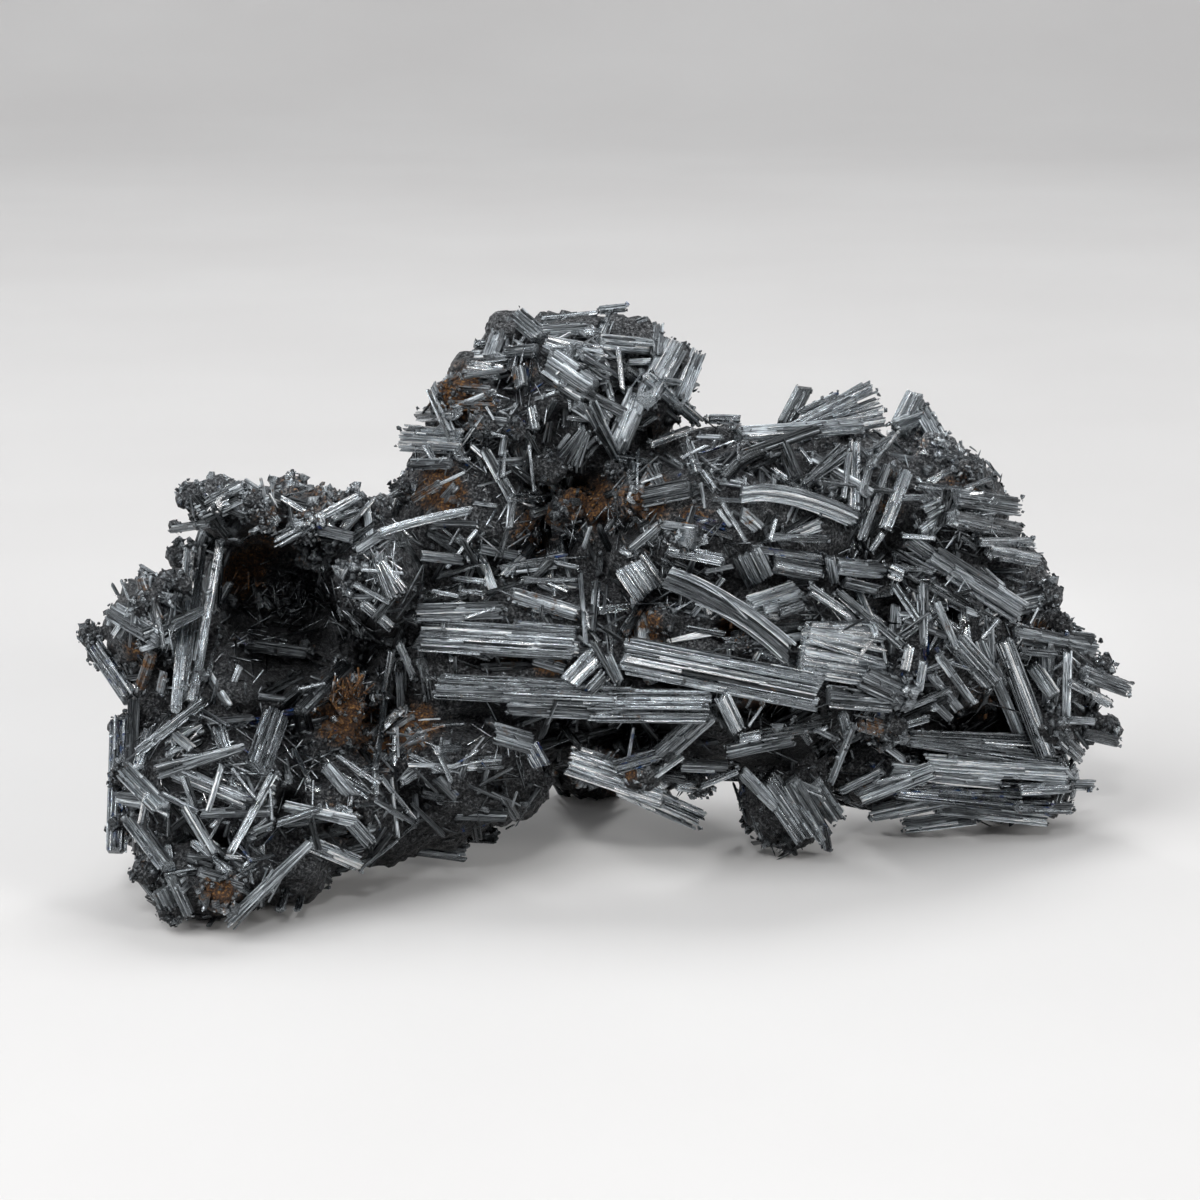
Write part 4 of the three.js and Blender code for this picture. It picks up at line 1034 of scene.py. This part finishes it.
def core_piece(material):
    """The dark crust under the crystals: lumps and knobs joined, roughened and hollowed."""
    ball = bmesh.new()
    bmesh.ops.create_icosphere(ball, subdivisions=4, radius=1.0)
    unit = np.array([v.co for v in ball.verts])
    corners = np.array([[v.index for v in f.verts] for f in ball.faces])
    ball.free()
    radii = np.maximum(LUMPS[:, 3:] - CORE_INSET, CORE_SHARE * LUMPS[:, 3:])
    balls = [(centre, size) for centre, size in zip(LUMPS[:, :3], radii)]
    balls += [(filler[:3], filler[3:]) for filler in FILLERS]
    balls += [(crust_centre(across, up), radius * np.array([0.95, 0.8, 0.85]))
              for across, up, radius, _, _ in CRUSTS]
    verts = np.concatenate([centre + unit * size for centre, size in balls])
    faces = np.concatenate([corners + i * len(unit) for i in range(len(balls))])
    base = bpy.data.meshes.new("core_base")
    base.from_pydata(verts.tolist(), [], faces.tolist())
    piece = bpy.data.objects.new("core_base", base)
    bpy.context.scene.collection.objects.link(piece)
    joined = piece.modifiers.new("join", "REMESH")
    joined.mode = "VOXEL"
    joined.voxel_size = CORE_VOXEL
    for name, grain_size, strength in (("knobs", 2.2, -0.9), ("grit", 0.9, -0.5)):
        bumps = piece.modifiers.new(name, "DISPLACE")
        bumps.texture = crust_texture(name, grain_size)
        bumps.strength = strength
        bumps.mid_level = 0.4
    made = bpy.data.meshes.new_from_object(piece.evaluated_get(bpy.context.evaluated_depsgraph_get()))
    bpy.data.objects.remove(piece)

    count = len(made.vertices)
    points = np.empty(count * 3)
    made.vertices.foreach_get("co", points)
    points = points.reshape(-1, 3)
    normals = np.empty(count * 3)
    made.vertex_normals.foreach_get("vector", normals)
    normals = normals.reshape(-1, 3)
    points = points + normals * (0.35 * wave(points, 1.9, 0.3))[:, None]
    points[:, 2] -= cut_depth(points)
    placed = place(points)
    placed[:, 2] = np.maximum(placed[:, 2], 0.0)
    made.vertices.foreach_set("co", placed.astype(np.float32).ravel())
    stain = np.where(normals[:, 2] > 0, stain_of(points), 0.3 * np.clip(wave(points, 7.0, 0.9), 0, 1))
    # Painted shade: the crust is darker where it faces down and in the hollows; the knobs are paler.
    tone = np.clip(0.95 + 0.9 * normals[:, 1], 0.3, 1) * knob_tone(points) * painted_hollow_shade(points)
    look = np.column_stack([tone, np.zeros(count), np.clip(stain, 0, 1), np.zeros(count)])
    give_attributes(made, points, look)
    made.update()
    return add_object("crust_core", made, material)


# ---- Materials ------------------------------------------------------------------------------


class Nodes:
    """A small helper for making a node material."""

    def __init__(self, name):
        self.material = bpy.data.materials.new(name)
        self.material.use_nodes = True
        self.tree = self.material.node_tree
        self.tree.nodes.clear()
        self.shader = self.make("ShaderNodeBsdfPrincipled")
        output = self.make("ShaderNodeOutputMaterial")
        self.link(self.shader.outputs["BSDF"], output.inputs["Surface"])

    def make(self, kind, **settings):
        node = self.tree.nodes.new(kind)
        for key, value in settings.items():
            setattr(node, key, value)
        return node

    def link(self, source, target):
        self.tree.links.new(source, target)

    def feed(self, socket, value):
        """A number, a colour or another node's output into a socket."""
        if isinstance(value, (int, float)):
            socket.default_value = value
        elif isinstance(value, tuple):
            socket.default_value = (*value, 1.0)
        else:
            self.link(value, socket)

    def math(self, operation, first, second=0.0, clamp=False):
        node = self.make("ShaderNodeMath", operation=operation, use_clamp=clamp)
        self.feed(node.inputs[0], first)
        self.feed(node.inputs[1], second)
        return node.outputs[0]

    def mask(self, value, threshold, steepness):
        """0 below the threshold, rising steeply to 1 above it."""
        over = self.math("SUBTRACT", value, threshold)
        return self.math("MULTIPLY", over, steepness, clamp=True)

    def noise(self, vector, scale, detail=2.0, rough=0.5, stretch=(1, 1, 1)):
        mapping = self.make("ShaderNodeMapping")
        mapping.inputs["Scale"].default_value = stretch
        self.link(vector, mapping.inputs["Vector"])
        node = self.make("ShaderNodeTexNoise")
        node.inputs["Scale"].default_value = scale
        node.inputs["Detail"].default_value = detail
        node.inputs["Roughness"].default_value = rough
        self.link(mapping.outputs["Vector"], node.inputs["Vector"])
        return node.outputs["Fac"]

    def ramp(self, factor, stops):
        node = self.make("ShaderNodeValToRGB")
        elements = node.color_ramp.elements
        while len(elements) < len(stops):
            elements.new(0.5)
        for element, (position, colour) in zip(elements, stops):
            element.position = position
            element.color = (*colour, 1.0)
        self.link(factor, node.inputs["Fac"])
        return node.outputs["Color"]

    def mix(self, factor, first, second):
        node = self.make("ShaderNodeMix", data_type="RGBA")
        sockets = [socket for socket in node.inputs if socket.enabled]
        for socket, value in zip(sockets, (factor, first, second)):
            self.feed(socket, value)
        return [socket for socket in node.outputs if socket.enabled][0]

    def scaled(self, colour, factor):
        node = self.make("ShaderNodeVectorMath", operation="SCALE")
        self.link(colour, node.inputs[0])
        self.feed(node.inputs["Scale"], factor)
        return node.outputs[0]

    def bump(self, height, distance):
        node = self.make("ShaderNodeBump")
        node.inputs["Strength"].default_value = 1.0
        node.inputs["Distance"].default_value = distance
        self.link(height, node.inputs["Height"])
        self.link(node.outputs["Normal"], self.shader.inputs["Normal"])


def look_parts(nodes):
    """The look attribute's four numbers, and the grain coordinates."""
    look = nodes.make("ShaderNodeAttribute", attribute_name="look")
    split = nodes.make("ShaderNodeSeparateColor")
    nodes.link(look.outputs["Color"], split.inputs["Color"])
    grain = nodes.make("ShaderNodeAttribute", attribute_name="grain")
    return (split.outputs["Red"], split.outputs["Green"], split.outputs["Blue"],
            look.outputs["Alpha"], grain.outputs["Vector"])


def stibnite_material():
    """Lead-grey metal, striated along each crystal, with tarnish and iron stain."""
    nodes = Nodes("stibnite_metal")
    scale, blue, stain, rough, grain = look_parts(nodes)
    spot = nodes.make("ShaderNodeTexCoord").outputs["Object"]

    striae = nodes.noise(grain, 7.5, 3.0, 0.65, (1, 1, 0.04))
    gaps = nodes.noise(grain, 5.0, 2.0, 0.6, (1, 1, 0.1))
    fine = nodes.noise(grain, 16.0, 2.0, 0.6, (1, 1, 0.05))
    cloud = nodes.noise(grain, 0.9, 3.0, 0.6)
    specks = nodes.noise(grain, 6.0, 4.0, 0.75)

    metal = nodes.ramp(striae, [(0.3, (0.05, 0.057, 0.063)), (0.46, (0.2, 0.217, 0.232)),
                                (0.6, (0.41, 0.448, 0.475)), (0.73, (0.82, 0.87, 0.91))])
    pitted = nodes.mix(nodes.mask(specks, 0.57, 7.0), metal, (0.045, 0.05, 0.055))
    split_up = nodes.mix(nodes.mask(gaps, 0.6, 9.0), pitted, (0.03, 0.034, 0.038))
    # The look's colour scale includes painted shade on undersides and in hollows.
    shaded = nodes.scaled(split_up, scale)
    tarnish = nodes.ramp(nodes.noise(grain, 1.6), [
        (0.3, (0.008, 0.02, 0.07)), (0.45, (0.015, 0.06, 0.17)), (0.6, (0.05, 0.045, 0.12)),
        (0.72, (0.13, 0.09, 0.03))])
    toned = nodes.mix(nodes.mask(nodes.math("ADD", blue, cloud), 0.97, 6.0), shaded, tarnish)
    rust = nodes.ramp(specks, [(0.38, (0.014, 0.008, 0.006)), (0.5, (0.075, 0.034, 0.015)),
                               (0.6, (0.26, 0.12, 0.032)), (0.7, (0.56, 0.34, 0.1))])
    patch = nodes.math("MULTIPLY", nodes.noise(spot, 900.0, 3.0, 0.65), 2.0)
    rust_mask = nodes.mask(nodes.math("ADD", stain, patch), 1.38, 3.5)
    nodes.link(nodes.mix(rust_mask, toned, rust), nodes.shader.inputs["Base Color"])

    metallic = nodes.math("SUBTRACT", 1.0, nodes.math("MULTIPLY", rust_mask, 0.85), clamp=True)
    nodes.link(metallic, nodes.shader.inputs["Metallic"])
    worn = nodes.math("MULTIPLY", nodes.math("ADD", cloud, specks), 0.16)
    polish = nodes.math("ADD", nodes.math("ADD", 0.08, rough), worn)
    stained = nodes.math("MULTIPLY", rust_mask, 0.3)
    nodes.link(nodes.math("ADD", polish, stained, clamp=True), nodes.shader.inputs["Roughness"])

    height = nodes.math("ADD", striae, nodes.math("MULTIPLY", fine, 0.45))
    nodes.bump(nodes.math("ADD", height, nodes.math("MULTIPLY", specks, 0.25)), 0.00018)
    return nodes.material


def crust_material():
    """Dark granular crust with a metallic glint, earthy where the iron has stained it."""
    nodes = Nodes("iron_crust")
    scale, _, stain, _, grain = look_parts(nodes)
    fine = nodes.noise(grain, 3.4, 5.0, 0.72)
    broad = nodes.noise(grain, 0.55, 3.0, 0.6)
    dark = nodes.ramp(fine, [(0.38, (0.014, 0.015, 0.017)), (0.52, (0.092, 0.097, 0.103)),
                             (0.66, (0.42, 0.435, 0.45))])
    rust = nodes.ramp(fine, [(0.38, (0.012, 0.007, 0.005)), (0.5, (0.07, 0.031, 0.014)),
                             (0.6, (0.25, 0.115, 0.032)), (0.7, (0.55, 0.33, 0.1))])
    patchy = nodes.math("ADD", broad, nodes.math("MULTIPLY", fine, 0.9))
    mask = nodes.mask(nodes.math("ADD", stain, patchy), 1.3, 4.0)
    # The look's colour scale includes painted shade on undersides and in hollows.
    colour = nodes.scaled(nodes.mix(mask, dark, rust), scale)
    nodes.link(colour, nodes.shader.inputs["Base Color"])
    metallic = nodes.math("SUBTRACT", 0.75, nodes.math("MULTIPLY", mask, 0.7))
    nodes.link(metallic, nodes.shader.inputs["Metallic"])
    rough = nodes.math("ADD", 0.3, nodes.math("MULTIPLY", broad, 0.35))
    nodes.link(nodes.math("ADD", rough, nodes.math("MULTIPLY", mask, 0.25)),
               nodes.shader.inputs["Roughness"])
    nodes.bump(fine, 0.0006)
    return nodes.material


# ---- Studio ---------------------------------------------------------------------------------


def add_aimed(name, data, location, direction):
    """A camera or lamp at a location, facing along a direction."""
    thing = bpy.data.objects.new(name, data)
    thing.location = location
    thing.rotation_mode = "QUATERNION"
    thing.rotation_quaternion = direction.to_track_quat("-Z", "Y")
    bpy.context.scene.collection.objects.link(thing)
    return thing


def make_camera():
    data = bpy.data.cameras.new("camera")
    data.sensor_width = 36.0
    data.lens = 36.0 * VIEW_DISTANCE / VIEW_WIDTH
    data.clip_start = 0.01
    data.clip_end = 10.0
    target = Vector(place([[0.0, 0.0, 0.0]])[0])
    back = Vector((0, -math.cos(VIEW_TILT), math.sin(VIEW_TILT)))
    bpy.context.scene.camera = add_aimed("camera", data, target + back * VIEW_DISTANCE * MM, -back)


def make_stage():
    """A pale round floor that curves up into a wall all the way round."""
    flat = 0.75
    bend = 0.5
    wall_top = 1.1
    bend_steps = 12
    segments = 96
    profile = [(0.0, 0.0), (0.1, 0.0), (0.3, 0.0), (flat, 0.0)]
    for step in range(1, bend_steps + 1):
        turn = math.pi / 2 * step / bend_steps
        profile.append((flat + bend * math.sin(turn), bend * (1 - math.cos(turn))))
    profile.append((flat + bend, wall_top))
    verts = [(0.0, 0.0, 0.0)]
    faces = []
    for radius, height in profile[1:]:
        for k in range(segments):
            turn = 2 * math.pi * k / segments
            verts.append((radius * math.cos(turn), radius * math.sin(turn), height))
    for k in range(segments):
        faces.append((0, 1 + k, 1 + (k + 1) % segments))
    for ring in range(len(profile) - 2):
        low = 1 + ring * segments
        high = low + segments
        for k in range(segments):
            after = (k + 1) % segments
            faces.append((low + k, high + k, high + after, low + after))
    mesh = bpy.data.meshes.new("floor")
    mesh.from_pydata(verts, [], faces)
    mesh.polygons.foreach_set("use_smooth", [True] * len(mesh.polygons))
    nodes = Nodes("pale_paper")
    spot = nodes.make("ShaderNodeTexCoord").outputs["Object"]
    mottle = nodes.noise(spot, 9.0, 3.0)
    nodes.link(nodes.ramp(mottle, [(0.3, (0.725, 0.717, 0.712)), (0.7, (0.77, 0.765, 0.76))]),
               nodes.shader.inputs["Base Color"])
    nodes.shader.inputs["Roughness"].default_value = 0.85
    floor = add_object("floor", mesh, nodes.material)


def area_light(name, location, size, power, colour=(1, 1, 1)):
    data = bpy.data.lights.new(name, "AREA")
    data.shape = "DISK"
    data.size = size
    data.energy = power
    data.color = colour
    add_aimed(name, data, location, Vector((0, 0, 0.025)) - Vector(location))


def spot_light(name, location, target, power):
    data = bpy.data.lights.new(name, "SPOT")
    data.energy = power
    data.shadow_soft_size = 0.03
    data.spot_size = math.radians(14)
    data.spot_blend = 1.0
    add_aimed(name, data, location, Vector(target) - Vector(location))


def make_lights():
    area_light("key", (-0.5, -0.5, 0.7), size=0.75, power=6.2)
    area_light("fill", (0.55, -0.6, 0.35), size=0.25, power=2.0, colour=(1.0, 0.99, 0.97))
    area_light("spark", (-0.05, -0.75, 0.5), size=0.08, power=1.5)
    area_light("top_back", (0.05, 0.42, 0.82), size=0.45, power=2.8)
    for side in (-0.1, 0.1):
        spot_light("kicker", (side, 0.25, 0.08), target=(0.004, 0.03, 0.0), power=2.4)
    world = bpy.data.worlds.new("soft_room")
    world.use_nodes = True
    background = world.node_tree.nodes["Background"]
    background.inputs["Color"].default_value = (0.8, 0.82, 0.86, 1)
    background.inputs["Strength"].default_value = 0.3
    bpy.context.scene.world = world
    bpy.context.scene.view_settings.view_transform = "Standard"


# ---- The cluster ----------------------------------------------------------------------------


def joined_piece(name, material, *makers):
    """One joined mesh from gathered prisms, or from functions that add to a pile."""
    pile = Pile()
    for maker in makers:
        maker(pile)
    return pile.build(name, material)


def build():
    metal = stibnite_material()
    small_front, small_rear = small_crystals()
    pieces = [
        (joined_piece("front_crystals", metal, front_crystals().into), "stibnite"),
        (joined_piece("back_crystals", metal, back_crystals().into), "stibnite"),
        (joined_piece("small_front_crystals", metal, small_front.into), "stibnite"),
        (joined_piece("small_rear_crystals", metal, small_rear.into), "stibnite"),
        (joined_piece("needles", metal, needle_crystals), "stibnite"),
        (joined_piece("crust_grains", metal, crust_grains, grit_on_crystals), "stibnite"),
        (core_piece(crust_material()), "iron_crust"),
    ]
    for piece, slot in pieces:
        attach(piece, "root")
        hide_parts(NODE)


make_camera()
make_stage()
make_lights()
build()
